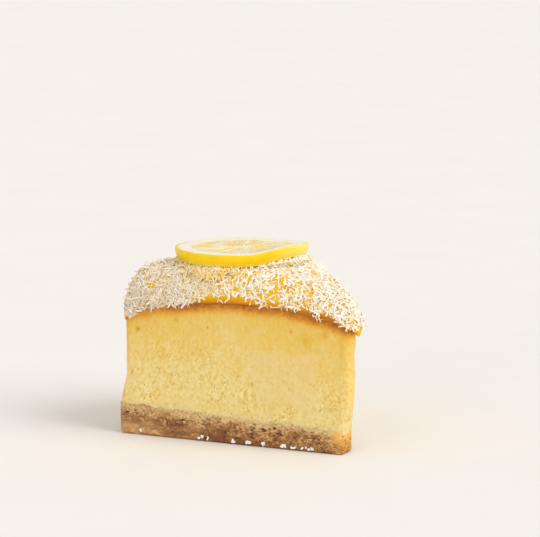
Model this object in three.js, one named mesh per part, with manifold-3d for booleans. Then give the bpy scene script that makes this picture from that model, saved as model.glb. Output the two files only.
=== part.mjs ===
// A slice of a round lemon cheesecake, standing upright, with its tip end blunt.
// Millimetres, +Z up. Plan positions are measured from the middle of the whole round cake:
// the front cut lies in the plane y = 0 and looks along -Y, the rim is at -X and the tip at +X.

import * as THREE from "three";
import { ImprovedNoise } from "three/addons/math/ImprovedNoise.js";
import { MeshSurfaceSampler } from "three/addons/math/MeshSurfaceSampler.js";
import Module from "manifold-3d";

const wasm = await Module();
wasm.setup();

// The slice
const CAKE_RADIUS = 113.2;
const SLICE_ANGLE = THREE.MathUtils.degToRad(46);
const TIP_DISTANCE = 9.4;
const TIP_ROUND = 1.5;
const LAYER_GAP = 0.3;
// Point inside the slice, seen from above, that the faces between layers are drawn in towards
const HUB = new THREE.Vector2(-70, 28);
// Shares of the way out from that point at which those faces bend
const LAYER_RINGS = [0.35, 0.65, 0.9];
const FRONT_STEPS = 26;
const TIP_STEPS = 3;
const REAR_STEPS = 24;
const RIM_STEPS = 22;

// Biscuit base, pressed thicker at the rim than at the tip
const BASE_HEIGHT_RIM = 13.5;
const BASE_HEIGHT_TIP = 9.6;
const BASE_UNEVEN = 0.7;
const BASE_UNEVEN_SIZE = 14;
const BASE_FOOT_ROUND = 1.6;
const BASE_TOP_ROUND = 0.5;
const BASE_CRAG = 0.4;
const BASE_CRAG_SIZE = 3.4;
const BASE_SIDE_RINGS = 4;

// Filling, risen in a ring and sunk towards the middle of the cake, drawn away from the tin at
// the rim and slumped outwards at the tip
const FILLING_PEAK_HEIGHT = 58.9;
const FILLING_PEAK_RADIUS = 56.5;
const FILLING_FALL = 6.8;
const FILLING_FALL_REACH = 51;
const FILLING_EDGE_ROUND = 1.5;
const FILLING_RIM_DRAW = 2.3;
const FILLING_TIP_SLUMP = 3.1;
const FILLING_LEDGE_SHARE = 0.34;
const FILLING_WAVE = 0.35;
const FILLING_WAVE_SIZE = 9;
const FILLING_SIDE_RINGS = 6;

// Lemon curd, a thick cushion spread on the slice
const CURD_TOP_HEIGHT = 73.2;
const CURD_TOP_FALL = 2.4;
const CURD_TOP_PLACE = new THREE.Vector2(-64.5, 27);
const CURD_TOP_FALL_REACH = 51;
const CURD_RIM_RADIUS = 111.2;
const CURD_TIP_REACH = 5.1;
const CURD_TIP_SPREAD = 5.4;
const CURD_SHOULDER_RIM = 11.5;
const CURD_RIM_FULLNESS = 2.3;
const CURD_SHOULDER_CUT = 9;
const CURD_CUT_FULLNESS = 3;
const CURD_SHOULDER_TIP = 42;
const CURD_TIP_FULLNESS = 1.6;
const CURD_TOP_RINGS = 10;

// Coconut shreds, stuck in the curd
const SHRED_LENGTH = 5.4;
const SHRED_LENGTH_SPREAD = 2.2;
const SHRED_WIDTH = 1.25;
const SHRED_END_NARROWING = 0.45;
const SHRED_THICKNESS = 0.7;
const SHRED_CURL = 0.55;
const SHRED_LIFT_ANGLE = THREE.MathUtils.degToRad(30);
const SHRED_SINK = 0.1;
const SHRED_SPACING = 4.7;
const SHRED_TRIES = 1600;
const SHRED_LEAST_SLOPE = -0.15;
const SHRED_CLEAR = 0.3;
const SHRED_SEED = 7;
// Bare strip of curd along each cut, above the filling
const BARE_STRIP_HEIGHT = 3;
const BARE_STRIP_DEPTH = 3;
const BARE_STRIP_RIM_SIDE = -75;
const BARE_STRIP_TIP_SIDE = -16;

// Lemon slice, lying on the curd
const LEMON_DISTANCE = 76;
const LEMON_SEAT_HEIGHT = 73.4;
const LEMON_TURN = THREE.MathUtils.degToRad(26);
const LEMON_TOP_RADIUS = 28;
const LEMON_UNDER_RADIUS = 26.7;
const LEMON_THICKNESS = 5.3;
const LEMON_EDGE_ROUND = 0.45;
const LEMON_PITH_WIDTH = 5.4;
const LEMON_CORE_RADIUS = 2.6;
const LEMON_SEGMENTS = 9;
const LEMON_STEPS = LEMON_SEGMENTS * 8;
const LEMON_PULP_DIP = 0.4;
const LEMON_MEMBRANE_SHARE = 0.3;
const LEMON_CURL = 1.5;
const LEMON_TWIST = 2.4;
const LEMON_CURL_START = 0.05;
const LEMON_CURL_END = 0.88;

const { lerp, smoothstep } = THREE.MathUtils;
const noise = new ImprovedNoise();

// Smooth unevenness between -1 and 1 over a plane, with bumps about as large as the size given
const UNEVEN_LEVEL = 0.4;
function uneven(across, up, size) {
  return noise.noise(across / size, up / size, UNEVEN_LEVEL);
}

// Random draws that come out the same each time
function seededDraw(seed) {
  let state = seed;
  return () => {
    state = (state * 1664525 + 1013904223) % 4294967296;
    return state / 4294967296;
  };
}

// Solids from rings

// A closed solid from rings of points, each one turn counter-clockwise seen from above,
// that start at one point underneath and end at one point on top
function ringSolid(under, rings, top) {
  const count = rings[0].length;
  const points = [under, ...rings.flat(), top];
  const last = points.length - 1;
  const at = (ring, step) => 1 + ring * count + (step % count);
  const faces = [];
  for (let step = 0; step < count; step += 1) {
    faces.push(0, at(0, step + 1), at(0, step));
    for (let ring = 0; ring + 1 < rings.length; ring += 1) {
      faces.push(at(ring, step), at(ring, step + 1), at(ring + 1, step + 1));
      faces.push(at(ring, step), at(ring + 1, step + 1), at(ring + 1, step));
    }
    faces.push(at(rings.length - 1, step), at(rings.length - 1, step + 1), last);
  }
  const geometry = new THREE.BufferGeometry().setFromPoints(points);
  geometry.setIndex(faces);
  geometry.computeVertexNormals();
  return geometry;
}

// A flat outline lifted to the height that each of its places gives
function raised(outline, heightAt) {
  return outline.map(({ x, y }) => new THREE.Vector3(x, y, heightAt(x, y)));
}

function raisedPoint({ x, y }, heightAt) {
  return new THREE.Vector3(x, y, heightAt(x, y));
}

function drawnIn(outline, share) {
  return outline.map((corner) => HUB.clone().lerp(corner, share));
}

// Joining

function solidOf(geometry) {
  const vertProperties = Float32Array.from(geometry.attributes.position.array);
  const triVerts = Uint32Array.from(geometry.index.array);
  const mesh = new wasm.Mesh({ numProp: 3, vertProperties, triVerts });
  mesh.merge();
  return new wasm.Manifold(mesh);
}

function geometryOf(solid) {
  const mesh = solid.getMesh();
  const geometry = new THREE.BufferGeometry();
  geometry.setAttribute("position", new THREE.BufferAttribute(mesh.vertProperties, mesh.numProp));
  geometry.setIndex(new THREE.BufferAttribute(mesh.triVerts, 1));
  return geometry;
}

// Outline of the slice

// Place at a distance from the middle of the cake, at an angle round from the front cut
function around(distance, angle) {
  return new THREE.Vector2(-distance * Math.cos(angle), distance * Math.sin(angle));
}

// Places from one point towards another, without the other
function along(from, to, steps) {
  return Array.from({ length: steps }, (_, step) => from.clone().lerp(to, step / steps));
}

// The slice from above, counter-clockwise from the rim: along the front cut, across the blunt tip,
// back along the rear cut and round the rim. The tip may reach further than the base's does, and
// spread further to the rear than the cut there.
function sliceOutline(rimRadiusAt, tipReach, tipSpread = 0) {
  const tip = tipReach - TIP_DISTANCE;
  const tipWidth = -tip * Math.tan(SLICE_ANGLE) + tipSpread;
  const turnIn = new THREE.Vector2(tip - TIP_ROUND, 0);
  const corner = new THREE.Vector2(tip, 0);
  const turnOut = new THREE.Vector2(tip, TIP_ROUND);
  const bend = new THREE.QuadraticBezierCurve(turnIn, corner, turnOut).getPoints(TIP_STEPS);
  const rear = new THREE.Vector2(tip, tipWidth);
  const rimStep = SLICE_ANGLE / RIM_STEPS;
  const rim = Array.from({ length: RIM_STEPS }, (_, step) => {
    const angle = SLICE_ANGLE - rimStep * step;
    return around(rimRadiusAt(angle), angle);
  });
  return [
    ...along(around(rimRadiusAt(0), 0), turnIn, FRONT_STEPS),
    ...bend,
    ...along(rear, rim[0], REAR_STEPS),
    ...rim,
  ];
}

// The outline with each of its points moved out by an amount worked out from its place
function roughened(outline, amountAt) {
  const count = outline.length;
  return outline.map((point, index) => {
    const before = outline[(index + count - 1) % count];
    const after = outline[(index + 1) % count];
    const outward = new THREE.Vector2(after.y - before.y, before.x - after.x).normalize();
    return point.clone().addScaledVector(outward, amountAt(point.x, point.y));
  });
}

// Faces between the layers

function baseTop(x, y) {
  const share = Math.hypot(x, y) / CAKE_RADIUS;
  return lerp(BASE_HEIGHT_TIP, BASE_HEIGHT_RIM, share) + BASE_UNEVEN * uneven(x, y, BASE_UNEVEN_SIZE);
}

function fillingUnder(x, y) {
  return baseTop(x, y) + LAYER_GAP;
}

function fillingTop(x, y) {
  const away = (Math.hypot(x, y) - FILLING_PEAK_RADIUS) / FILLING_FALL_REACH;
  return FILLING_PEAK_HEIGHT - FILLING_FALL * away * away;
}

function curdUnder(x, y) {
  return fillingTop(x, y) + LAYER_GAP;
}

// Biscuit base

function baseSide(share) {
  const crag = (x, y) => {
    return BASE_CRAG * noise.noise(x / BASE_CRAG_SIZE, y / BASE_CRAG_SIZE, share * BASE_CRAG_SIZE);
  };
  const height = (x, y) => lerp(BASE_FOOT_ROUND, baseTop(x, y) - BASE_TOP_ROUND, share);
  return raised(roughened(sliceOutline(() => CAKE_RADIUS, 0), crag), height);
}

function biscuitBase() {
  const foot = sliceOutline(() => CAKE_RADIUS - BASE_FOOT_ROUND, 0);
  const brim = sliceOutline(() => CAKE_RADIUS - BASE_TOP_ROUND, 0);
  const rings = [raised(foot, () => 0)];
  for (let ring = 0; ring <= BASE_SIDE_RINGS; ring += 1) {
    rings.push(baseSide(ring / BASE_SIDE_RINGS));
  }
  rings.push(raised(brim, baseTop));
  for (const share of LAYER_RINGS.toReversed()) {
    rings.push(raised(drawnIn(brim, share), baseTop));
  }
  return ringSolid(raisedPoint(HUB, () => 0), rings, raisedPoint(HUB, baseTop));
}

// Filling

// Outline of the filling at a share of the way up its side
function fillingOutline(share, inset) {
  const ledge = smoothstep(share, 0, FILLING_LEDGE_SHARE);
  const radius = (angle) => {
    const wave = uneven(angle * CAKE_RADIUS, share * FILLING_PEAK_HEIGHT, FILLING_WAVE_SIZE);
    return CAKE_RADIUS - BASE_TOP_ROUND - inset - FILLING_RIM_DRAW * ledge + FILLING_WAVE * wave;
  };
  return sliceOutline(radius, FILLING_TIP_SLUMP * ledge);
}

function fillingSide(share) {
  const height = (x, y) => lerp(fillingUnder(x, y), fillingTop(x, y) - FILLING_EDGE_ROUND, share);
  return raised(fillingOutline(share, 0), height);
}

function cheesecakeFilling() {
  const under = sliceOutline(() => CAKE_RADIUS - BASE_TOP_ROUND, 0);
  const crown = fillingOutline(1, FILLING_EDGE_ROUND);
  const rings = LAYER_RINGS.map((share) => raised(drawnIn(under, share), fillingUnder));
  for (let ring = 0; ring <= FILLING_SIDE_RINGS; ring += 1) {
    rings.push(fillingSide(ring / FILLING_SIDE_RINGS));
  }
  rings.push(raised(crown, fillingTop));
  for (const share of LAYER_RINGS.toReversed()) {
    rings.push(raised(drawnIn(crown, share), fillingTop));
  }
  return ringSolid(raisedPoint(HUB, fillingUnder), rings, raisedPoint(HUB, fillingTop));
}

// Lemon curd

// Rise of a rounded shoulder, 0 at its edge and 1 from its full width inwards
function shoulder(distance, width, fullness) {
  const left = THREE.MathUtils.clamp(1 - distance / width, 0, 1);
  return (1 - left ** fullness) ** (1 / fullness);
}

// Distance in from the rear edge of the curd, which runs straight from its spread tip to its rim
function curdToRear(x, y) {
  const tip = CURD_TIP_REACH - TIP_DISTANCE;
  const tipRear = new THREE.Vector2(tip, -tip * Math.tan(SLICE_ANGLE) + CURD_TIP_SPREAD);
  const edge = around(CURD_RIM_RADIUS, SLICE_ANGLE).sub(tipRear).normalize();
  return edge.cross(new THREE.Vector2(x, y).sub(tipRear));
}

function curdTop(x, y) {
  const toFront = y;
  const toRear = curdToRear(x, y);
  const toRim = CURD_RIM_RADIUS - Math.hypot(x, y);
  const toTip = CURD_TIP_REACH - TIP_DISTANCE - x;
  const sideWidth = Math.min(CURD_SHOULDER_CUT, (toFront + toRear) / 2);
  const sides = shoulder(toFront, sideWidth, CURD_CUT_FULLNESS)
    * shoulder(toRear, sideWidth, CURD_CUT_FULLNESS);
  const ends = shoulder(toRim, CURD_SHOULDER_RIM, CURD_RIM_FULLNESS)
    * shoulder(toTip, CURD_SHOULDER_TIP, CURD_TIP_FULLNESS);
  const away = CURD_TOP_PLACE.distanceTo({ x, y }) / CURD_TOP_FALL_REACH;
  const crown = CURD_TOP_HEIGHT - CURD_TOP_FALL * away * away;
  return lerp(curdUnder(x, y), crown, sides * ends);
}

function curdCushion() {
  const outline = sliceOutline(() => CURD_RIM_RADIUS, CURD_TIP_REACH, CURD_TIP_SPREAD);
  const rings = LAYER_RINGS.map((share) => raised(drawnIn(outline, share), curdUnder));
  rings.push(raised(outline, curdUnder));
  for (let ring = 1; ring < CURD_TOP_RINGS; ring += 1) {
    const inward = ring / CURD_TOP_RINGS;
    rings.push(raised(drawnIn(outline, 1 - inward * inward), curdTop));
  }
  return ringSolid(raisedPoint(HUB, curdUnder), rings, raisedPoint(HUB, curdTop));
}

// Coconut shreds

// A strip that narrows and curls towards both ends, lying along X
function shredStrip(length) {
  const strip = new THREE.BoxGeometry(length, SHRED_WIDTH, SHRED_THICKNESS, 2, 1, 1);
  const corners = strip.attributes.position;
  for (let corner = 0; corner < corners.count; corner += 1) {
    const outward = Math.abs((2 * corners.getX(corner)) / length);
    corners.setY(corner, corners.getY(corner) * (1 - SHRED_END_NARROWING * outward));
    corners.setZ(corner, corners.getZ(corner) + SHRED_CURL * outward);
  }
  return strip;
}

// Turns a strip to lie on a surface, headed at random and with one end lifted
function layOn(strip, place, normal, draw) {
  const heading = new THREE.Vector3(draw() - 0.5, draw() - 0.5, draw() - 0.5);
  const across = new THREE.Vector3().crossVectors(normal, heading).normalize();
  heading.crossVectors(across, normal).applyAxisAngle(across, -SHRED_LIFT_ANGLE * draw());
  const up = new THREE.Vector3().crossVectors(heading, across);
  const sunk = place.clone().addScaledVector(normal, -SHRED_SINK);
  strip.applyMatrix4(new THREE.Matrix4().makeBasis(heading, across, up).setPosition(sunk));
  return strip;
}

function onBareStrip({ x, y, z }) {
  const low = z - curdUnder(x, y) < BARE_STRIP_HEIGHT;
  const byCut = Math.min(y, curdToRear(x, y)) < BARE_STRIP_DEPTH;
  return low && byCut && x > BARE_STRIP_RIM_SIDE && x < BARE_STRIP_TIP_SIDE;
}

// The cushion with shreds spread evenly on it, each clear of the solids next to it
function coatedCurd(cushion, neighbours) {
  const draw = seededDraw(SHRED_SEED);
  const sampler = new MeshSurfaceSampler(new THREE.Mesh(cushion)).setRandomGenerator(draw).build();
  const places = [];
  let coated = solidOf(cushion);
  for (let attempt = 0; attempt < SHRED_TRIES; attempt += 1) {
    const place = new THREE.Vector3();
    const normal = new THREE.Vector3();
    sampler.sample(place, normal);
    const length = SHRED_LENGTH + SHRED_LENGTH_SPREAD * (draw() - 0.5);
    const strip = layOn(shredStrip(length), place, normal, draw);
    const crowded = places.some((other) => other.distanceTo(place) < SHRED_SPACING);
    if (crowded || normal.z < SHRED_LEAST_SLOPE || onBareStrip(place)) {
      continue;
    }
    const shred = solidOf(strip);
    if (neighbours.some((neighbour) => !neighbour.intersect(shred).isEmpty())) {
      continue;
    }
    places.push(place);
    coated = coated.add(shred);
  }
  return coated;
}

// Lemon slice

// How far the slice is bent up at a place on it, given as shares of its radius:
// it curls up towards the tip of the cake, and most towards the front there
function lemonBend(across, back) {
  const rise = Math.max(LEMON_CURL - LEMON_TWIST * back, 0);
  return smoothstep(across, LEMON_CURL_START, LEMON_CURL_END) * rise;
}

// Share of the pulp's full dip at an angle, 0 along the membranes between segments
function lemonDip(angle) {
  return smoothstep(Math.abs(Math.sin((angle * LEMON_SEGMENTS) / 2)), 0, LEMON_MEMBRANE_SHARE);
}

function lemonRing(radius, level, dip) {
  return Array.from({ length: LEMON_STEPS }, (_, step) => {
    const angle = (step / LEMON_STEPS) * Math.PI * 2;
    const x = radius * Math.cos(angle);
    const y = radius * Math.sin(angle);
    const bend = lemonBend(x / LEMON_TOP_RADIUS, y / LEMON_TOP_RADIUS);
    return new THREE.Vector3(x, y, level + bend - dip * lemonDip(angle));
  });
}

function lemonSlice() {
  const top = LEMON_THICKNESS;
  const middleRadius = (LEMON_TOP_RADIUS + LEMON_UNDER_RADIUS) / 2 + LEMON_EDGE_ROUND / 2;
  const pulpRadius = LEMON_TOP_RADIUS - LEMON_PITH_WIDTH;
  const rings = [
    lemonRing(LEMON_UNDER_RADIUS / 2, 0, 0),
    lemonRing(LEMON_UNDER_RADIUS - LEMON_EDGE_ROUND, 0, 0),
    lemonRing(LEMON_UNDER_RADIUS, LEMON_EDGE_ROUND, 0),
    lemonRing(middleRadius, top / 2, 0),
    lemonRing(LEMON_TOP_RADIUS, top - LEMON_EDGE_ROUND, 0),
    lemonRing(LEMON_TOP_RADIUS - LEMON_EDGE_ROUND, top, 0),
    lemonRing(pulpRadius, top, 0),
    lemonRing(pulpRadius - LEMON_PULP_DIP * 2, top, LEMON_PULP_DIP),
    lemonRing((LEMON_CORE_RADIUS + pulpRadius) / 2, top, LEMON_PULP_DIP),
    lemonRing(LEMON_CORE_RADIUS, top, LEMON_PULP_DIP),
  ];
  const slice = ringSolid(new THREE.Vector3(), rings, new THREE.Vector3(0, 0, top));
  const seat = around(LEMON_DISTANCE, SLICE_ANGLE / 2);
  slice.rotateZ(LEMON_TURN);
  slice.translate(seat.x, seat.y, LEMON_SEAT_HEIGHT);
  return slice;
}

// The slice put together

function piece(name, geometry, color, roughness) {
  const material = new THREE.MeshStandardMaterial({ color, roughness, metalness: 0 });
  material.name = name;
  const mesh = new THREE.Mesh(geometry, material);
  mesh.name = name;
  return mesh;
}

// What the shreds keep clear of: the filling and the lemon slice, each also moved a little
const filling = cheesecakeFilling();
const lemon = lemonSlice();
const keepOff = [
  solidOf(filling).translate([0, -SHRED_CLEAR, SHRED_CLEAR]),
  solidOf(filling).translate([0, SHRED_CLEAR, 0]),
  solidOf(filling).translate([SHRED_CLEAR, 0, 0]),
  solidOf(filling).translate([-SHRED_CLEAR, 0, 0]),
  solidOf(lemon).translate([0, 0, -SHRED_CLEAR]),
  solidOf(lemon),
];

const cake = new THREE.Group();
cake.add(
  piece("biscuit_base", biscuitBase(), 0xa67b4d, 0.9),
  piece("cheesecake", filling, 0xe6c87f, 0.7),
  piece("lemon_curd", geometryOf(coatedCurd(curdCushion(), keepOff)), 0xf0dcae, 0.55),
  piece("lemon_slice", lemon, 0xf2c42c, 0.4),
);

// Stood with the middle of its footprint at the origin
const box = new THREE.Box3().setFromObject(cake);
const middle = box.getCenter(new THREE.Vector3());
cake.position.set(-middle.x, -middle.y, -box.min.z);

const part = new THREE.Group();
part.add(cake);
export default part;
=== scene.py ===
import bpy
import numpy as np
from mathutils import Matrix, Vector


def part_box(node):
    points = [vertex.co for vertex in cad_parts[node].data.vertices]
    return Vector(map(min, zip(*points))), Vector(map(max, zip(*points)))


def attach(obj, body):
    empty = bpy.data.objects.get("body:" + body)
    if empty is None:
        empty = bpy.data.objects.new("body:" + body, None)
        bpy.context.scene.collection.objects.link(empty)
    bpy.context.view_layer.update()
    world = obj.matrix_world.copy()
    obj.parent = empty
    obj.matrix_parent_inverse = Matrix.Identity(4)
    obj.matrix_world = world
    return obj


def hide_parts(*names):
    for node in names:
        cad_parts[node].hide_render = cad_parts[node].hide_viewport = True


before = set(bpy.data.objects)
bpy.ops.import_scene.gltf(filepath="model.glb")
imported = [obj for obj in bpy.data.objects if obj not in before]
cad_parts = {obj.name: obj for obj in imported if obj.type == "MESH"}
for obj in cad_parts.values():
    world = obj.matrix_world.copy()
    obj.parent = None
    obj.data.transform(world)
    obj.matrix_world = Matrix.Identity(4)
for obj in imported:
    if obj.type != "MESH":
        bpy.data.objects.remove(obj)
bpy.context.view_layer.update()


# Biscuit base: crushed biscuits and butter pressed into the foot of a springform tin.
# The tin leaves the rim side fairly smooth; the knife leaves the two cuts and the tip open and crumbly,
# with small holes between the crumbs and a sandy edge where the filling soaked in.

MM = 0.001
SLICE_ANGLE = np.radians(46)
CAKE_RADIUS = 113.2
TIP_DISTANCE = 9.4
TIP_SLUMP = 3.1
RIM_STARTS = 2.0
RIM_FULL = 0.3
BASE_HEIGHT_RIM = 13.5
BASE_HEIGHT_TIP = 9.6
BASE_UNEVEN = 0.55
BASE_UNEVEN_SIZE = 9.0
BASE_FOOT_ROUND_RIM = 1.8
BASE_FOOT_ROUND_CUT = 1.3
BASE_TOP_ROUND_RIM = 0.55
BASE_TOP_ROUND_CUT = 0.05
BASE_CORNER_ROUND = 1.8
BASE_ROWS = 40
BASE_COLUMNS = dict(front=270, tip=28, rear=230, rim=160)
CORNER_COLUMNS = 5
CRUMB_SIZE = 2.4
CRUMB_RELIEF = 0.38
CRUMB_FLATNESS = 1.7
GRIT_SIZE = 0.9
GRIT_RELIEF = 0.16
GRAIN_MIDDLE = 0.45
RELIEF_BELOW = (0.2, 2.0)
HOLE_SIZE = 1.7
HOLE_DEPTH = 0.55
HOLE_LINE = 3.6
HOLE_LINE_WIDTH = 2.0
HOLE_NOISE = (0.46, 0.6)
HOLE_BELOW = (0.8, 2.2)
OPEN_PATCH_SIZE = 6.0
COARSE_FROM = -80.0
COARSE_TO = -40.0
DARK_FROM = -92.0
DARK_TO = -38.0
DARK_LOW = (7.5, 5.0)
FOOT_TONE_LOW = (5.0, 1.0)
RIM_PALE = (-64.0, -92.0)
RIM_SMOOTHING = 0.75
BASE_EDGE_RAGGED = 1.3
BASE_EDGE_RAGGED_SIZE = 2.4
BASE_LIP = 0.15
BASE_LIP_BELOW = (1.6, 0.4)
BAND_SIZE = 9.0
BAND_FLATNESS = 3.5
SANDY_DEPTH = 4.2
SANDY_FULL = 0.8
SANDY_RAGGED = 3.2
SANDY_RAGGED_SIZE = 7.0
SANDY_PATCHES = ((-80.0, 9.0, 2.4), (-46.0, 10.0, 1.8))
RIM_LESS_SANDY = (-88.0, -100.0)
BORDER_DEPTH = 3.6
BORDER_RAGGED = 2.6
BORDER_RAGGED_SIZE = 5.0
BUTTERY_GLOW_FROM = -17.0
BUTTERY_GLOW_HIGH = (2.0, 8.0)
BUTTERY_GLOW_FADE = (0.5, 7.5)
BASE_CAP_MARKS = dict(sandy=1.0, crumb=0.6)
CAP_SHARES = np.array([0.97, 0.88, 0.65, 0.35])
HUB = np.array([-70.0, 28.0])
NOISE_TURN = np.array([[0.36, 0.48, -0.8], [-0.8, 0.6, 0.0], [0.48, 0.64, 0.6]])
NOISE_LAYERS = 3

# Middle of the whole round cake in the part's frame: plan places below are measured from it
filling_low, filling_high = (np.array(corner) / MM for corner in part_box("cheesecake"))
cake_middle = np.array([filling_high[0] + TIP_DISTANCE - TIP_SLUMP, filling_low[1], 0.0])


def lattice_number(cell, seed):
    """A random number from 0 to 1 for each lattice cell: its three whole numbers times large odd
    factors, added up, then the bits mixed twice by shifting and multiplying."""
    factors = np.array([374761393, 668265263, 1442695041], np.uint64)
    mixed = (cell.astype(np.int64).astype(np.uint64) * factors).sum(-1)
    mixed = mixed + np.uint64(seed * 974634777 + 12345)
    for shift in (np.uint64(29), np.uint64(32)):
        mixed = (mixed ^ (mixed >> shift)) * np.uint64(11400714819323198485)
    return (mixed >> np.uint64(40)).astype(float) / 2.0**24


def soft_noise(points, size, seed):
    """Smooth noise from -1 to 1: random numbers at the corners of a turned lattice of that size,
    blended over the eight corners round each point by a smoothstep along each axis."""
    places = points @ NOISE_TURN / size
    cell = np.floor(places)
    share = places - cell
    share = share * share * (3 - 2 * share)
    blended = np.zeros(places.shape[:-1])
    for corner in np.ndindex(2, 2, 2):
        weight = np.where(np.array(corner) == 1, share, 1 - share).prod(-1)
        blended += weight * lattice_number(cell + np.array(corner), seed)
    return 2 * blended - 1


def layered_noise(points, size, seed):
    """Sum of smooth noise of halving size and halving strength, from about -1 to 1."""
    return sum(soft_noise(points, size / 2**k, seed + 7 * k) / 2 ** (k + 1) for k in range(NOISE_LAYERS))


def nearest_grain(points, size, seed):
    """Distance, in lattice sizes, to the nearest of grains scattered one in each lattice cell,
    and that grain's own random number."""
    places = points @ NOISE_TURN / size
    cell = np.floor(places)
    nearest = np.full(places.shape[:-1], 9.0)
    number = np.zeros(places.shape[:-1])
    for step in np.ndindex(3, 3, 3):
        other = cell + np.array(step) - 1
        spot = other + np.stack([lattice_number(other, seed + axis) for axis in range(3)], -1)
        distance = np.linalg.norm(spot - places, axis=-1)
        closer = distance < nearest
        nearest = np.where(closer, distance, nearest)
        number = np.where(closer, lattice_number(other, seed + 3), number)
    return nearest, number


def ease(value, low, high):
    """0 below low, 1 above high, and a smoothstep between; low may be the larger of the two."""
    share = np.clip((value - low) / (high - low), 0, 1)
    return share * share * (3 - 2 * share)


def between(first, second, share):
    """The value that share of the way from the first to the second."""
    return first + (second - first) * share


def bell(away, reach):
    """Bell curve: 1 where away is 0, falling to 1/e at the reach."""
    return np.exp(-((away / reach) ** 2))


def around(distance, angle):
    """Plan place at a distance from the middle of the cake, at an angle round from the front cut."""
    return np.stack(np.broadcast_arrays(-distance * np.cos(angle), distance * np.sin(angle)), -1)


def raised(plan, height):
    """Points over plan places at a height, still measured from the middle of the cake."""
    return np.concatenate([plan, (height + 0 * plan[..., 0])[..., None]], -1)


def standing(plan, height):
    """Points in the part's frame, in millimetres, from plan places and heights."""
    return raised(plan, height) + cake_middle


def over_hub(height):
    """The point in the part's frame at that height over the hub."""
    return np.array([*HUB, height]) + cake_middle


def wedge_walls(rim_radius, reach, spread, corner, columns):
    """Plan of the slice for each row of a wall, one turn counter-clockwise from above: front cut, blunt
    tip, rear cut and rim arc, each a run of evenly spaced columns, joined by corners that are quadratic
    curves from one run to the next. rim_radius, reach and spread hold one number for each row."""
    tip = reach - TIP_DISTANCE
    tip_front = np.stack([tip, 0 * tip], -1)
    tip_rear = np.stack([tip, spread - tip * np.tan(SLICE_ANGLE)], -1)
    rim_rear = around(rim_radius, SLICE_ANGLE)
    rim_front = around(rim_radius, 0.0 * rim_radius)
    rear_way = rim_rear - tip_rear
    rear_way = rear_way / np.linalg.norm(rear_way, axis=-1, keepdims=True)
    front_way = np.array([1.0, 0.0])
    tip_way = np.array([0.0, 1.0])
    turn = corner / rim_radius

    def run(start, end, count):
        """Evenly spaced columns from the start up to just before the end."""
        share = (np.arange(count) / count)[:, None]
        return start[:, None] + (end - start)[:, None] * share

    def bend(start, middle, end):
        """Columns along a quadratic curve from the start, heading for the middle, to the end."""
        share = (np.arange(CORNER_COLUMNS) / CORNER_COLUMNS)[:, None]
        start, middle, end = start[:, None], middle[:, None], end[:, None]
        return start * (1 - share) ** 2 + 2 * middle * share * (1 - share) + end * share**2

    rim_angles = np.linspace(SLICE_ANGLE - turn, turn, columns["rim"], endpoint=False).T
    return np.concatenate([
        run(rim_front + corner * front_way, tip_front - corner * front_way, columns["front"]),
        bend(tip_front - corner * front_way, tip_front, tip_front + corner * tip_way),
        run(tip_front + corner * tip_way, tip_rear - corner * tip_way, columns["tip"]),
        bend(tip_rear - corner * tip_way, tip_rear, tip_rear + corner * rear_way),
        run(tip_rear + corner * rear_way, rim_rear - corner * rear_way, columns["rear"]),
        bend(rim_rear - corner * rear_way, rim_rear, around(rim_radius, SLICE_ANGLE - turn)),
        around(rim_radius[:, None], rim_angles),
        bend(around(rim_radius, turn), rim_front, rim_front + corner * front_way),
    ], 1)


def wall_outward(walls):
    """Unit plan direction out of each wall point: the way along the wall turned a quarter to the right."""
    way = np.roll(walls, -1, 1) - np.roll(walls, 1, 1)
    out = np.stack([way[..., 1], -way[..., 0]], -1)
    return out / np.linalg.norm(out, axis=-1, keepdims=True)


def rim_share(plan, radius):
    """How much a wall point belongs to the rim, by its distance from the middle of the cake: 0 on the cuts
    and the tip, 1 on the rim."""
    return ease(np.linalg.norm(plan, axis=-1), radius - RIM_STARTS, radius - RIM_FULL)


def base_top(plan):
    """Height of the base's upper face: rising evenly from the tip to the rim, and a little uneven."""
    share = np.linalg.norm(plan, axis=-1) / CAKE_RADIUS
    level = between(BASE_HEIGHT_TIP, BASE_HEIGHT_RIM, share)
    return level + BASE_UNEVEN * soft_noise(raised(plan, 0.0), BASE_UNEVEN_SIZE, 11)


def drawn_in(ring, shares):
    """Copies of a plan ring drawn in towards the hub to those shares of its distance."""
    return HUB + (ring - HUB) * shares[:, None, None]


def rounded_inset(up, radius):
    """How far a wall draws in near an edge with a quarter-round: up is the height from that edge."""
    left = np.clip(1 - up / np.maximum(radius, 1e-6), 0, 1)
    return radius * (1 - np.sqrt(1 - left**2))


def ring_piece(name, rings, under, over):
    """A closed mesh from rings of points, each one turn counter-clockwise from above: quads between the
    rings, and a fan of triangles to one point at each end."""
    rows, count = rings.shape[:2]
    points = np.concatenate([rings.reshape(-1, 3), under[None], over[None]])
    index = np.arange(rows * count).reshape(rows, count)
    onward = np.roll(index, -1, 1)
    quads = np.stack([index[:-1], onward[:-1], onward[1:], index[1:]], -1).reshape(-1, 4)
    low = np.stack([onward[0], index[0], np.full(count, rows * count)], -1)
    high = np.stack([index[-1], onward[-1], np.full(count, rows * count + 1)], -1)
    return mesh_piece(name, points, quads, np.concatenate([low, high]))


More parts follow.
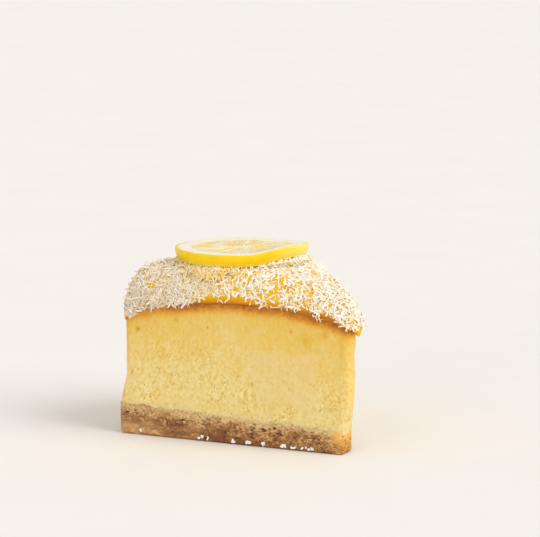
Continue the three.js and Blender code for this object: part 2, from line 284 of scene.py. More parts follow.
def mesh_piece(name, points, quads, triangles, smooth=True):
    """An object at the origin from points in millimetres and its faces' corner numbers."""
    corners = np.concatenate([quads.ravel(), triangles.ravel()])
    sizes = np.concatenate([np.full(len(quads), 4), np.full(len(triangles), 3)])
    mesh = bpy.data.meshes.new(name)
    mesh.vertices.add(len(points))
    mesh.vertices.foreach_set("co", (points * MM).astype(np.float32).ravel())
    mesh.loops.add(len(corners))
    mesh.loops.foreach_set("vertex_index", corners.astype(np.int32))
    mesh.polygons.add(len(sizes))
    mesh.polygons.foreach_set("loop_start", np.cumsum(sizes).astype(np.int32) - sizes)
    mesh.polygons.foreach_set("use_smooth", np.full(len(sizes), smooth))
    mesh.update(calc_edges=True)
    piece = bpy.data.objects.new(name, mesh)
    bpy.context.scene.collection.objects.link(piece)
    return piece


def mark(piece, name, rings, ends=(0.0, 0.0)):
    """Stores one number for each point of a piece, for its material to read."""
    values = np.concatenate([rings.ravel(), np.array(ends)]).astype(np.float32)
    piece.data.attributes.new(name, "FLOAT", "POINT").data.foreach_set("value", values)


def base_wall():
    """Side of the base: rows from foot to top edge, drawn in at the rounded foot, moved out by crumbs and
    grit, pressed flatter than wide, and in by holes where noise is high, most along the line down to which
    the filling soaked in. Gives plan, heights, and as marks how deep in a hole each point is, how sandy,
    how pale its crumb, how much butter orange and painted glow of light through the tip it has, and how open."""
    share = np.linspace(0, 1, BASE_ROWS)
    radius = np.full(BASE_ROWS, CAKE_RADIUS)
    plan = wedge_walls(radius, 0 * share, 0 * share, BASE_CORNER_ROUND, BASE_COLUMNS)
    outward = wall_outward(plan)
    top = base_top(plan)
    ragged = BASE_EDGE_RAGGED * layered_noise(raised(plan, 0.0), BASE_EDGE_RAGGED_SIZE, 17)
    height = share[:, None] * (top + ragged)
    below = top - height
    points = raised(plan, height)
    pressed = points * np.array([1, 1, CRUMB_FLATNESS])
    on_rim = rim_share(plan, CAKE_RADIUS)
    rough = 1 - RIM_SMOOTHING * on_rim
    crumb, crumb_number = nearest_grain(pressed, CRUMB_SIZE, 21)
    grit, grit_number = nearest_grain(pressed, GRIT_SIZE, 31)

    line = bell(below - HOLE_LINE, HOLE_LINE_WIDTH)
    open_crumb = 0.2 + 0.8 * line + 0.4 * ease(plan[..., 0], COARSE_FROM, COARSE_TO)
    open_crumb = np.clip(open_crumb + 0.5 * layered_noise(pressed, OPEN_PATCH_SIZE, 45), 0, 1) * rough
    holes = ease(layered_noise(pressed, HOLE_SIZE, 41) + 0.2 * open_crumb, *HOLE_NOISE)
    holes = holes * rough * ease(share, 0.02, 0.1)[:, None] * ease(below, *HOLE_BELOW)
    relief = CRUMB_RELIEF * (GRAIN_MIDDLE - crumb) + GRIT_RELIEF * (GRAIN_MIDDLE - grit)
    relief = relief * (0.5 + 0.6 * open_crumb)
    foot_round = between(BASE_FOOT_ROUND_CUT, BASE_FOOT_ROUND_RIM, on_rim)
    top_round = between(BASE_TOP_ROUND_CUT, BASE_TOP_ROUND_RIM, on_rim)
    out = rough * relief * ease(below, *RELIEF_BELOW) - HOLE_DEPTH * holes - rounded_inset(height, foot_round)
    out = out + BASE_LIP * ease(below, *BASE_LIP_BELOW) * (1 - on_rim)
    out = out - rounded_inset(top + ragged - height, top_round)

    deeper = 0.0
    for place, reach, depth in SANDY_PATCHES:
        deeper = deeper + depth * bell(plan[..., 0] - place, reach)
    plan = plan + outward * out[..., None]
    x = plan[..., 0]
    bands = layered_noise(points * np.array([1, 1, BAND_FLATNESS]), BAND_SIZE, 47)
    tone = 0.4 + 0.55 * bands + (0.12 + 0.3 * open_crumb) * (grit_number - 0.5)
    tone = tone + (0.25 + 0.4 * open_crumb) * (crumb_number - 0.5)
    tone = tone + open_crumb * (0.35 * (grit_number > 0.86) - 0.25 * (grit_number < 0.1))
    by_rim = ease(x, *RIM_PALE)
    tone = tone - (0.16 - 0.26 * by_rim) * ease(height, *FOOT_TONE_LOW) + 0.12 * by_rim
    in_middle = ease(x, DARK_FROM, DARK_FROM + 12.0) * ease(x, DARK_TO, DARK_TO - 10.0)
    tone = tone - 0.14 * in_middle * ease(height, *DARK_LOW)
    soaked_to = below - deeper + SANDY_RAGGED * layered_noise(pressed, SANDY_RAGGED_SIZE, 43)
    sandy = ease(soaked_to, SANDY_DEPTH, SANDY_FULL)
    border_to = below + BORDER_RAGGED * layered_noise(pressed, BORDER_RAGGED_SIZE, 49)
    border = ease(border_to, BORDER_DEPTH, SANDY_FULL) * (0.62 + 0.5 * grit_number)
    sandy = np.maximum(0.85 * sandy * (0.55 + 0.7 * grit_number), border)
    sandy = np.clip(sandy * (1 - 0.25 * ease(x, *RIM_LESS_SANDY)), 0, 1)
    # Orange by the tip: partly butter that ran there and partly a painted glow of light through the thin tip.
    butter = 0.35 + 0.4 * grit_number + 0.4 * crumb_number + 0.3 * ease(height, *BUTTERY_GLOW_HIGH)
    butter = butter * (0.5 + 0.5 * ease(height, *BUTTERY_GLOW_FADE))
    buttery_glow = np.clip(ease(x, BUTTERY_GLOW_FROM, -TIP_DISTANCE) * butter, 0, 1)
    open_crumb = open_crumb * (1 - 0.8 * buttery_glow)
    marks = dict(hole=holes, sandy=sandy, crumb=np.clip(tone, 0, 1), buttery_glow=buttery_glow, open=open_crumb)
    return plan, height, marks


def paint(red, green, blue):
    """A colour for a shader socket from its 0 to 255 values as seen on a screen."""
    seen = np.array([red, green, blue]) / 255
    light = np.where(seen <= 0.04045, seen / 12.92, ((seen + 0.055) / 1.055) ** 2.4)
    return (*light, 1.0)


def add_node(tree, kind, sockets=None, **settings):
    """Adds a node: settings are its own properties, sockets are values or outputs for its inputs."""
    made = tree.nodes.new("ShaderNode" + kind)
    for key, value in settings.items():
        setattr(made, key, value)
    for key, value in (sockets or {}).items():
        if isinstance(value, bpy.types.NodeSocket):
            tree.links.new(value, made.inputs[key])
        else:
            made.inputs[key].default_value = value
    return made


def read_mark(tree, name):
    """The number that a piece's mesh stores under that name."""
    return add_node(tree, "Attribute", attribute_name=name).outputs["Fac"]


def noise_node(tree, size, detail=3.0, roughness=0.55, stretch=(1, 1, 1)):
    """Noise on object coordinates with features about that many millimetres large."""
    place = add_node(tree, "TexCoord").outputs["Object"]
    turned = add_node(tree, "Mapping", {"Vector": place, "Scale": stretch}).outputs["Vector"]
    sockets = {"Vector": turned, "Scale": 1 / (size * MM), "Detail": detail, "Roughness": roughness}
    return add_node(tree, "TexNoise", sockets).outputs["Fac"]


def ramp_node(tree, amount, stops):
    """Colour ramp over an amount: stops are (place, colour) pairs."""
    ramp = add_node(tree, "ValToRGB", {"Fac": amount})
    elements = ramp.color_ramp.elements
    while len(elements) < len(stops):
        elements.new(1.0)
    for element, (place, colour) in zip(elements, stops):
        element.position = place
        element.color = colour
    return ramp.outputs["Color"]


def blend_node(tree, amount, first, second):
    """Colour between two, by an amount."""
    return add_node(tree, "Mix", {0: amount, 6: first, 7: second}, data_type="RGBA").outputs[2]


def span_node(tree, amount, low, high, to_low=0.0, to_high=1.0):
    """An amount stretched from one span to another and held at its ends."""
    sockets = {"Value": amount, "From Min": low, "From Max": high, "To Min": to_low, "To Max": to_high}
    return add_node(tree, "MapRange", sockets).outputs["Result"]


def tint_node(tree, name, strength, under, colour):
    """A colour laid over another where a mark is 1, up to that strength."""
    amount = span_node(tree, read_mark(tree, name), 0.0, 1.0, 0.0, strength)
    return blend_node(tree, amount, under, colour)


def bump_node(tree, height, depth, strength):
    """Surface bump of that many millimetres."""
    sockets = {"Height": height, "Distance": depth * MM, "Strength": strength}
    return add_node(tree, "Bump", sockets).outputs["Normal"]


def new_finish(name, **sockets):
    """A material with one Principled shader; constant values go straight on its own sockets."""
    material = bpy.data.materials.new(name)
    material.use_nodes = True
    shader = material.node_tree.nodes["Principled BSDF"]
    for key, value in sockets.items():
        shader.inputs[key.replace("_", " ")].default_value = value
    return material, material.node_tree, shader


def feed(tree, shader, **sockets):
    """Links outputs to the shader's sockets."""
    for key, output in sockets.items():
        tree.links.new(output, shader.inputs[key.replace("_", " ")])


def biscuit_finish():
    """Toasted biscuit: crumbs of several browns, with painted shade in the holes, sandy and paler near the
    filling, and orange at the thin tip, where the butter ran, with a painted glow of light through it."""
    material, tree, shader = new_finish(
        "biscuit", Subsurface_Weight=0.1, Subsurface_Scale=0.001, Subsurface_Radius=(1.0, 0.45, 0.15))
    crumbs = ramp_node(tree, read_mark(tree, "crumb"), [
        (0.05, paint(124, 76, 36)),
        (0.4, paint(162, 113, 65)),
        (0.65, paint(192, 146, 96)),
        (0.95, paint(226, 186, 124)),
    ])
    grain = noise_node(tree, 1.0, detail=4.0, roughness=0.6, stretch=(1, 1, 1.3))
    flecks = span_node(tree, read_mark(tree, "open"), 0.0, 1.0, 0.12, 0.75)
    dulled = blend_node(tree, span_node(tree, grain, 0.48, 0.34, 0.0, flecks), crumbs, paint(126, 78, 40))
    flecked = blend_node(tree, span_node(tree, grain, 0.54, 0.68, 0.0, flecks), dulled, paint(224, 178, 108))
    soaked = blend_node(tree, span_node(tree, grain, 0.36, 0.62), paint(190, 146, 92), paint(216, 180, 124))
    sandy = blend_node(tree, span_node(tree, read_mark(tree, "sandy"), 0.0, 0.85), flecked, soaked)
    paler = span_node(tree, read_mark(tree, "sandy"), 0.6, 1.0, 0.0, 0.75)
    bordered = blend_node(tree, paler, sandy, paint(232, 206, 150))
    # Painted glow of light through the thin tip, in the orange of the butter there.
    buttery_glow = tint_node(tree, "buttery_glow", 0.8, bordered, paint(250, 190, 88))
    # Painted shade in the holes: deep brown where the hole mark is 1.
    hole_shaded = blend_node(tree, read_mark(tree, "hole"), buttery_glow, paint(96, 54, 22))
    roughness = span_node(tree, grain, 0.3, 0.7, 0.95, 0.6)
    fine = bump_node(tree, noise_node(tree, 0.35, detail=3.0, roughness=0.7), 0.16, 0.7)
    feed(tree, shader, Base_Color=hole_shaded, Roughness=roughness, Normal=fine)
    return material


base_plan, base_height, base_marks = base_wall()
base_cap = drawn_in(base_plan[-1], CAP_SHARES)
base_rings = np.concatenate([standing(base_plan, base_height), standing(base_cap, base_top(base_cap))])
biscuit_base = ring_piece(
    "biscuit_base_crumb", base_rings, over_hub(0.0), over_hub(base_top(HUB[None])[0]))
for name, values in base_marks.items():
    on_cap = np.full(base_cap.shape[:2], BASE_CAP_MARKS.get(name, 0.0))
    mark(biscuit_base, name, np.concatenate([values, on_cap]))
biscuit_base.data.materials.append(biscuit_finish())
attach(biscuit_base, "root")
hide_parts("biscuit_base")


# Cheesecake: a soft-cheese, egg and lemon filling baked on the base, risen in a ring and sunk in the middle.
# The knife leaves fine pores low down, a smeared patch and drag lines by the tip; the oven browns a
# thin skin on top and colours the rim, which drew away from the tin as it cooled.

FILLING_PEAK_HEIGHT = 58.9
FILLING_PEAK_RADIUS = 56.5
FILLING_FALL = 6.8
FILLING_FALL_REACH = 51.0
FILLING_RIM_INSET = 0.2
FILLING_TIP_PROUD = 0.4
FILLING_RIM_DRAW = 2.4
FILLING_LEDGE_SHARE = 0.4
FILLING_EDGE_ROUND_RIM = 1.5
FILLING_EDGE_ROUND_CUT = 0.1
FILLING_CORNER_ROUND = 2.7
FILLING_SINK = 2.6
FILLING_TUCK = 0.8
FILLING_TUCK_BELOW = (1.3, 2.2)
FILLING_CALM_FOOT = (-0.4, 2.2)
FRONT_DEPTH = (3.0, 1.0)
FILLING_ROWS = 128
FILLING_COLUMNS = dict(front=290, tip=30, rear=220, rim=125)
CUT_WAVE = 0.22
CUT_WAVE_SIZE = 17.0
RIM_WAVE = 0.7
RIM_WAVE_SIZE = 9.0
TIP_WAVE = 0.6
TIP_WAVE_SIZE = 6.0
FILLING_GRAIN = 0.12
FILLING_GRAIN_SIZES = (1.4, 0.8)
STREAK_DEPTH = 0.04
STREAK_SIZE = 0.9
PORE_SIZES = ((3.0, 0.23, 0.34, 0.4), (1.8, 0.27, 0.24, 0.5), (1.2, 0.32, 0.16, 0.9))
PORE_LEAN = 0.45
PORE_FLATNESS = 0.7
PORE_SHADE_DEPTH = 0.2
GLINT_SHIFT = np.array([-0.5, 0.0, 0.4])
GLINT_PROUD = 0.1
PORE_PATCHES = (
    (-101.0, 19.0, 9.0), (-87.0, 29.0, 12.0), (-70.0, 25.0, 11.0), (-55.0, 20.0, 8.0),
    (-37.0, 28.0, 6.0), (-38.0, 15.0, 7.0), (-15.0, 19.0, 10.0),
)
PORE_PATCH_RAGGED_SIZE = 4.0
FOOT_PALE_HEIGHT = 3.0
SMEAR_FROM = -50.0
SMEAR_TO = -21.0
SMEAR_TOP = 40.5
SMEAR_FOOT = 17.0
SMEAR_WANDER = 1.6
SMEAR_WANDER_SIZE = 9.0
SMEAR_PROUD = 0.16
DRAG_PLACES = ((-18.2, 0.8), (-14.8, 0.5), (-11.2, 0.7))
DRAG_WANDER = 0.35
DRAG_WANDER_SIZE = 11.0
DRAG_TOP = 33.0
DRAG_DEPTH = 0.16
SKIN_DEPTH = 3.0
SKIN_UNEVEN_SIZE = 7.0
SKIN_SHARPNESS = 2.6
SKIN_OFF_RIM = (-100.0, -84.0)
SKIN_PALER = (-80.0, -45.0)
GOLDEN_DEPTH = 12.0
RIM_TONE_DEPTH = 2.2
TIP_TONE_DEPTH = 5.0
MOTTLE_SIZE = 6.0
FRECKLE_SIZE = 1.2
SPOTS = (
    (-17.5, 49.1, 1.7, 0.2), (-26.4, 46.2, 2.6, 0.16), (-104.0, 45.4, 0.9, 0.5),
    (-85.8, 50.6, 0.9, 0.3), (-38.0, 20.0, 2.2, 0.14),
)
PITS = (
    (-32.9, 49.3, 0.55), (-71.3, 48.4, 0.5), (-54.0, 21.8, 0.7), (-50.7, 26.3, 0.6),
    (-36.2, 28.0, 0.6), (-33.6, 25.6, 0.5),
)
PIT_DEPTH = 0.4
PIT_SHADE = 0.4
WARM_HIGH = (18.0, 48.0)
WARM_TIP_GLOW = (-60.0, -18.0)
WARM_SIZES = (15.0, 3.0)
COARSE_LOW = (48.0, 34.0)
FILLING_CAP_BROWN = 0.8


def filling_top(plan):
    """Height of the filling's upper face: a parabola falling both ways from a ring round the cake."""
    away = (np.linalg.norm(plan, axis=-1) - FILLING_PEAK_RADIUS) / FILLING_FALL_REACH
    return FILLING_PEAK_HEIGHT - FILLING_FALL * away**2


def filling_pores(points, chance):
    """Pores left by air, drawn out upwards and leaning to the tip: for each of three sizes, a parabola's dip
    round scattered grains, kept where the grain's random number is under the chance there. Gives the dip
    in millimetres."""
    x, y, height = np.moveaxis(points, -1, 0)
    leaning = np.stack([x - PORE_LEAN * height, y, PORE_FLATNESS * height], -1)
    dip = 0.0
    for seed, (size, radius, depth, thinning) in enumerate(PORE_SIZES):
        distance, number = nearest_grain(leaning, size, 51 + 10 * seed)
        wide = radius * (0.6 + 0.8 * (number * 7.3 % 1.0))
        kept = number < chance * thinning
        dip = np.maximum(dip, depth * kept * np.clip(1 - (distance / wide) ** 2, 0, 1))
    return dip


def knife_smear(points):
    """How much the knife smeared the cut at a point: 1 in a patch by the tip, 0 outside, with edges that
    wander by noise and fade over a few millimetres."""
    x, height = points[..., 0], points[..., 2]
    wander = SMEAR_WANDER * layered_noise(points, SMEAR_WANDER_SIZE, 71)
    smear = ease(x + 3 * wander, SMEAR_FROM - 3, SMEAR_FROM + 3)
    smear = smear * ease(x + wander, SMEAR_TO + 2, SMEAR_TO - 1)
    smear = smear * ease(height + 0.8 * wander, SMEAR_TOP + 0.8, SMEAR_TOP - 1.2)
    return smear * ease(height + wander, SMEAR_FOOT - 3, SMEAR_FOOT + 3)


def knife_drag(points):
    """Lines that the knife dragged down the cut by the tip: a parabola across each, which wanders with the
    height and fades out at its top."""
    x, height = points[..., 0], points[..., 2]
    wander = DRAG_WANDER * soft_noise(points * np.array([0, 0, 1.0]), DRAG_WANDER_SIZE, 81)
    drag = 0.0
    for place, width in DRAG_PLACES:
        drag = np.maximum(drag, np.clip(1 - ((x + wander - place) / width) ** 2, 0, 1))
    return drag * ease(height, DRAG_TOP, DRAG_TOP - 6)


def round_patch(points, place, level, reach):
    """A patch round a place and level on the cut: a bell curve of the distance from them."""
    return np.exp(-((points[..., 0] - place) ** 2 + (points[..., 2] - level) ** 2) / reach**2)


def browning(points, below, in_front):
    """How browned the side is: a thin skin at the top that fades with a power of the depth below it, gold
    further down, darker towards the rim and the tip, with spots on the front cut. Gives the skin too."""
    x = points[..., 0]
    skin_depth = SKIN_DEPTH * (1 + 0.4 * layered_noise(points * np.array([1, 1, 0]), SKIN_UNEVEN_SIZE, 105))
    skin = np.exp(-((below / skin_depth) ** SKIN_SHARPNESS))
    skin = skin * (0.45 + 0.55 * ease(x, *SKIN_OFF_RIM)) * (1 - 0.12 * ease(x, *SKIN_PALER))
    golden = np.exp(-below / GOLDEN_DEPTH)
    to_rim = CAKE_RADIUS - np.linalg.norm(points[..., :2], axis=-1)
    rim_tone = np.exp(-np.maximum(to_rim - FILLING_RIM_DRAW, 0) / RIM_TONE_DEPTH) * (0.2 + 0.4 * golden)
    tip_tone = ease(x, -TIP_DISTANCE - 6.0, -TIP_DISTANCE + 2.0) * np.exp(-below / TIP_TONE_DEPTH)
    baked = np.clip(0.66 * skin + 0.2 * golden + 0.5 * rim_tone + 0.2 * tip_tone, 0, 1)
    baked = baked + 0.06 * layered_noise(points, MOTTLE_SIZE, 107)
    baked = baked + 0.45 * skin * layered_noise(points, FRECKLE_SIZE, 108)
    for place, level, reach, strength in SPOTS:
        baked = baked + strength * in_front * round_patch(points, place, level, reach)
    return baked, skin


def filling_wall():
    """Side of the filling: rows from the base up to the browned edge. The rim draws in and the tip slumps
    out over the lower part; the surface is moved by waves, pores, the knife's smear and drag lines. Gives
    plan, heights, and as marks what the colours follow."""
    share = np.linspace(0, 1, FILLING_ROWS)
    ledge = ease(share, 0, FILLING_LEDGE_SHARE)
    radius = CAKE_RADIUS - FILLING_RIM_INSET - FILLING_RIM_DRAW * ledge
    tip_reach = between(FILLING_TIP_PROUD, TIP_SLUMP, ledge)
    plan = wedge_walls(radius, tip_reach, 0 * share, FILLING_CORNER_ROUND, FILLING_COLUMNS)
    outward = wall_outward(plan)
    under = base_top(plan) - FILLING_SINK
    top = filling_top(plan)
    height = under + share[:, None] * (top - under)
    points = raised(plan, height)
    x = plan[..., 0]
    on_rim = rim_share(plan, radius[:, None])
    on_cut = 1 - on_rim
    in_front = ease(plan[..., 1], *FRONT_DEPTH)
    smear = knife_smear(points)
    drag = knife_drag(points) * on_cut * ease(outward[..., 0], 0.9, 0.3)

    patches = np.zeros_like(height)
    for place, level, reach in PORE_PATCHES:
        patches = np.maximum(patches, round_patch(points, place, level, reach))
    patches = patches * (0.7 + 0.6 * soft_noise(points, PORE_PATCH_RAGGED_SIZE, 91))
    chance = np.clip((0.08 + 0.9 * patches) * (1 - 0.6 * smear), 0, 1) * (0.3 + 0.7 * on_cut)
    pores = filling_pores(points, chance)
    glints = np.clip((filling_pores(points + GLINT_SHIFT, chance) - pores) / 0.3, 0, 1)
    glints = glints * ease(patches, 0.1, 0.4)
    pits = np.zeros_like(height)
    for place, level, reach in PITS:
        away = (x - place) ** 2 + 0.4 * (height - level) ** 2
        pits = pits + in_front * np.clip(1 - away / reach**2, 0, 1)

    at_tip = ease(x, -TIP_DISTANCE - 3.0, -TIP_DISTANCE + 1.0)
    coarse_size, fine_size = FILLING_GRAIN_SIZES
    grain = layered_noise(points, coarse_size, 101) + 0.6 * patches * soft_noise(points, fine_size, 103)
    streaks = soft_noise(points * np.array([1, 1, 0.06]), STREAK_SIZE, 95)
    out = CUT_WAVE * layered_noise(points, CUT_WAVE_SIZE, 97)
    out = out + RIM_WAVE * on_rim * layered_noise(points, RIM_WAVE_SIZE, 99)
    out = out + TIP_WAVE * at_tip * layered_noise(points, TIP_WAVE_SIZE, 98)
    out = out + FILLING_GRAIN * grain * (1 - 0.6 * smear) + STREAK_DEPTH * streaks
    out = out - pores + GLINT_PROUD * glints + SMEAR_PROUD * smear - DRAG_DEPTH * drag
    out = out * ease(height - base_top(plan), *FILLING_CALM_FOOT)
    out = out - FILLING_TUCK * ease(base_top(plan) - height, *FILLING_TUCK_BELOW)
    out = out - rounded_inset(top - height, between(FILLING_EDGE_ROUND_CUT, FILLING_EDGE_ROUND_RIM, on_rim))
    out = out - PIT_DEPTH * pits
    plan = plan + outward * out[..., None]

    baked, skin = browning(points, np.maximum(top - height, 0), in_front)
    # Warmer high up, where it baked more, and towards the tip, a painted glow of light through the thin tip;
    # with random patches.
    warm = 0.75 * ease(height, *WARM_HIGH) + 0.3 * ease(x, *WARM_TIP_GLOW)
    warm = warm + 0.5 * layered_noise(points, WARM_SIZES[0], 109)
    warm = warm + 0.65 * layered_noise(points * np.array([1, 1, 0.6]), WARM_SIZES[1], 110)
    coarse = np.clip(0.2 + 0.12 * ease(height, *COARSE_LOW) + 0.7 * patches, 0, 1)
    # The pits also darken through the baked mark: painted shade in the dips.
    marks = dict(
        pore=np.clip(pores / PORE_SHADE_DEPTH, 0, 1),
        glint=glints,
        baked=np.clip(baked + PIT_SHADE * pits, 0, 1),
        smear=smear,
        soaked=ease(height - base_top(plan), FOOT_PALE_HEIGHT, 0.0),
        warm=np.clip(warm, 0, 1),
        coarse=coarse * (1 - 0.4 * smear) * (1 - skin),
    )
    return plan, height, marks


def cheesecake_finish():
    """Moist baked custard: pale yellow, with painted shade in the pores and painted highlights on the raised
    lips beside them, golden towards the top, brown skin, soft gloss.
    """
    material, tree, shader = new_finish(
        "cheesecake", Subsurface_Weight=0.3, Subsurface_Scale=0.003, Subsurface_Radius=(1.0, 0.62, 0.2),
        Specular_IOR_Level=0.25)
    pale = blend_node(tree, read_mark(tree, "warm"), paint(236, 214, 142), paint(234, 199, 98))
    baked = ramp_node(tree, read_mark(tree, "baked"), [
        (0.0, paint(234, 204, 112)),
        (0.2, paint(232, 188, 76)),
        (0.45, paint(220, 154, 44)),
        (0.75, paint(194, 116, 24)),
        (1.0, paint(166, 90, 16)),
    ])
    toned = blend_node(tree, span_node(tree, read_mark(tree, "baked"), 0.02, 0.2), pale, baked)
    smeared = tint_node(tree, "smear", 0.55, toned, paint(235, 208, 142))
    soaked = tint_node(tree, "soaked", 0.6, smeared, paint(228, 208, 150))
    coarse = read_mark(tree, "coarse")
    grain = noise_node(tree, 1.1, detail=2.0, roughness=0.6, stretch=(1, 1, 0.75))
    lighter = blend_node(tree, span_node(tree, grain, 0.5, 0.68, 0.0, coarse), soaked, paint(246, 228, 168))
    specked = blend_node(tree, span_node(tree, grain, 0.48, 0.3, 0.0, coarse), lighter, paint(222, 172, 64))
    # Painted highlights on the raised lips beside the pores, and painted shade in the pores, deepest where
    # they dip deepest.
    glinting = tint_node(tree, "glint", 0.8, specked, paint(254, 242, 196))
    pored = tint_node(tree, "pore", 0.75, glinting, paint(214, 160, 44))
    fine = noise_node(tree, 0.5, detail=4.0, roughness=0.65)
    roughness = span_node(tree, fine, 0.3, 0.7, 0.62, 0.42)
    soft = bump_node(tree, fine, 0.2, 0.9)
    feed(tree, shader, Base_Color=pored, Roughness=roughness, Normal=soft)
    return material


filling_plan, filling_height, filling_marks = filling_wall()
filling_cap = drawn_in(filling_plan[-1], CAP_SHARES)
filling_foot = drawn_in(filling_plan[0], CAP_SHARES[::-1])
filling_rings = np.concatenate([
    standing(filling_foot, base_top(filling_foot) - FILLING_SINK),
    standing(filling_plan, filling_height),
    standing(filling_cap, filling_top(filling_cap)),
])
cheesecake = ring_piece(
    "cheesecake_filling",
    filling_rings,
    over_hub(base_top(HUB[None])[0] - FILLING_SINK),
    over_hub(filling_top(HUB[None])[0]),
)
cap_blank = np.zeros(filling_cap.shape[:2])
for name, values in filling_marks.items():
    on_cap = cap_blank + FILLING_CAP_BROWN * (name == "baked")
    mark(cheesecake, name, np.concatenate([cap_blank, values, on_cap]))
cheesecake.data.materials.append(cheesecake_finish())
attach(cheesecake, "root")
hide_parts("cheesecake")


# Lemon curd: cooked lemon, egg and butter, spread thickly on the slice after it was cut.
# It is glossy and half clear, rounded off at every edge, laps a little over the edges of the cuts and
# hangs over the tip in a short drip.

CURD_TOP_HEIGHT = 73.2
CURD_TOP_FALL = 2.4
CURD_TOP_PLACE = np.array([-64.5, 27.0])
CURD_TOP_FALL_REACH = 51.0
CURD_RIM_RADIUS = 111.2
CURD_TIP_REACH = 5.1
CURD_TIP_SPREAD = 5.4
CURD_SHOULDER_RIM = 11.5
CURD_RIM_FULLNESS = 2.3
CURD_SHOULDER_CUT = 9.0
CURD_CUT_FULLNESS = 3.0
CURD_SHOULDER_TIP = 42.0
CURD_TIP_FULLNESS = 1.6
CURD_CORNER_ROUND = 2.4
CURD_SUNK = 0.2
CURD_LAP = 0.15
CURD_LAP_RIM = 2.6
CURD_BULGE = -0.06
CURD_LAP_RIM_FRONT = (2.4, 0.6)
CURD_DRIP = 4.2
CURD_DRIP_BACK = (0.6, 4.0)
CURD_DRIP_THICK = 2.2
CURD_FEATHER = 0.35
CURD_COLUMNS = dict(front=200, tip=34, rear=190, rim=140)
CURD_TOP_ROWS = 54
CURD_UNEVEN = 0.35
CURD_UNEVEN_SIZE = 7.0
CURD_ORANGE_RISE = 4.2
CURD_ORANGE_TIP = (-48.0, -22.0)
CURD_ORANGE_TIP_RISE = 1.2


def shoulder(distance, width, fullness):
    """Rise of a rounded shoulder, 0 at its edge and 1 from its full width inwards: a superellipse."""
    left = np.clip(1 - distance / width, 0, 1)
    return (1 - left**fullness) ** (1 / fullness)


def curd_to_rear(plan):
    """Distance in from the rear edge of the curd, which runs straight from its spread tip to its rim."""
    tip = CURD_TIP_REACH - TIP_DISTANCE
    tip_rear = np.array([tip, CURD_TIP_SPREAD - tip * np.tan(SLICE_ANGLE)])
    edge = around(CURD_RIM_RADIUS, SLICE_ANGLE) - tip_rear
    edge = edge / np.linalg.norm(edge)
    away = plan - tip_rear
    return edge[0] * away[..., 1] - edge[1] * away[..., 0]


def curd_top(plan):
    """Height of the curd: from the filling's top up to a low dome, by the product of its four shoulders."""
    to_front = np.maximum(plan[..., 1], 0)
    to_rear = np.maximum(curd_to_rear(plan), 0)
    to_rim = CURD_RIM_RADIUS - np.linalg.norm(plan, axis=-1)
    to_tip = CURD_TIP_REACH - TIP_DISTANCE - plan[..., 0]
    side = np.maximum(np.minimum(CURD_SHOULDER_CUT, (to_front + to_rear) / 2), 0.1)
    rise = shoulder(to_front, side, CURD_CUT_FULLNESS) * shoulder(to_rear, side, CURD_CUT_FULLNESS)
    rise = rise * shoulder(to_rim, CURD_SHOULDER_RIM, CURD_RIM_FULLNESS)
    rise = rise * shoulder(to_tip, CURD_SHOULDER_TIP, CURD_TIP_FULLNESS)
    away = np.linalg.norm(plan - CURD_TOP_PLACE, axis=-1) / CURD_TOP_FALL_REACH
    crown = CURD_TOP_HEIGHT - CURD_TOP_FALL * away**2
    crown = crown + CURD_UNEVEN * layered_noise(raised(plan, 0.0), CURD_UNEVEN_SIZE, 111)
    return filling_top(plan) + rise * (crown - filling_top(plan))


def curd_rings():
    """Rings of the curd from underneath outwards, round its lapping lower edge and up over the shoulders to
    the middle. The lap is shallow along the cuts, deeper at the rim's front corner, and grows to the drip
    at the tip."""
    one = np.ones(1)
    outline = wedge_walls(
        CURD_RIM_RADIUS * one, CURD_TIP_REACH * one, CURD_TIP_SPREAD * one, CURD_CORNER_ROUND, CURD_COLUMNS)
    outward = wall_outward(outline)[0]
    outline = outline[0]
    edge = filling_top(outline)
    flat = raised(outline, 0.0)
    at_tip = ease(outline[:, 0], -TIP_DISTANCE - 1.0, CURD_TIP_REACH - TIP_DISTANCE)
    at_tip = at_tip * ease(outline[:, 1], *CURD_DRIP_BACK)
    at_rim = ease(np.linalg.norm(outline, axis=-1), CURD_RIM_RADIUS - 9.0, CURD_RIM_RADIUS - 4.0)
    at_rim = at_rim * ease(outline[:, 1], *CURD_LAP_RIM_FRONT)
    hang = 0.75 + 0.5 * layered_noise(flat, 4.0, 113) + 0.35 * np.sin(outline[:, 1] * 1.1 + 0.6)
    lap = between(CURD_LAP, CURD_LAP_RIM, at_rim)
    lap = lap * (1 + 0.6 * layered_noise(flat, 6.0, 115)) + CURD_DRIP * at_tip * np.clip(hang, 0.2, 1.3)
    thick = between(CURD_FEATHER, CURD_DRIP_THICK, np.maximum(at_tip, 0.4 * at_rim))
    angles = np.radians([-170, -135, -100, -65, -35, -10, 10, 35])[:, None]
    bulge = CURD_BULGE * (1 + 0.5 * layered_noise(flat, 5.0, 117))
    lap_out = bulge + thick / 2 * (np.cos(angles) - 1)
    lap_height = edge - lap * (0.5 - 0.5 * np.sin(angles)) + CURD_SUNK
    lap_plan = outline + outward * lap_out[..., None]
    inward = np.linspace(0, 1, CURD_TOP_ROWS + 1)[1:-1]
    top_plan = drawn_in(outline, 1 - inward**2)
    fade = ease(inward, 0.32, 0.0)[:, None]
    top_height = curd_top(top_plan)
    top_plan = top_plan + outward * (bulge * fade)[..., None]
    foot_plan = drawn_in(outline, np.array([0.35, 0.7, 0.92]))
    foot_height = filling_top(foot_plan) - CURD_SUNK
    plan = np.concatenate([foot_plan, lap_plan, top_plan])
    height = np.concatenate([foot_height, lap_height, top_height])
    return standing(plan, height)


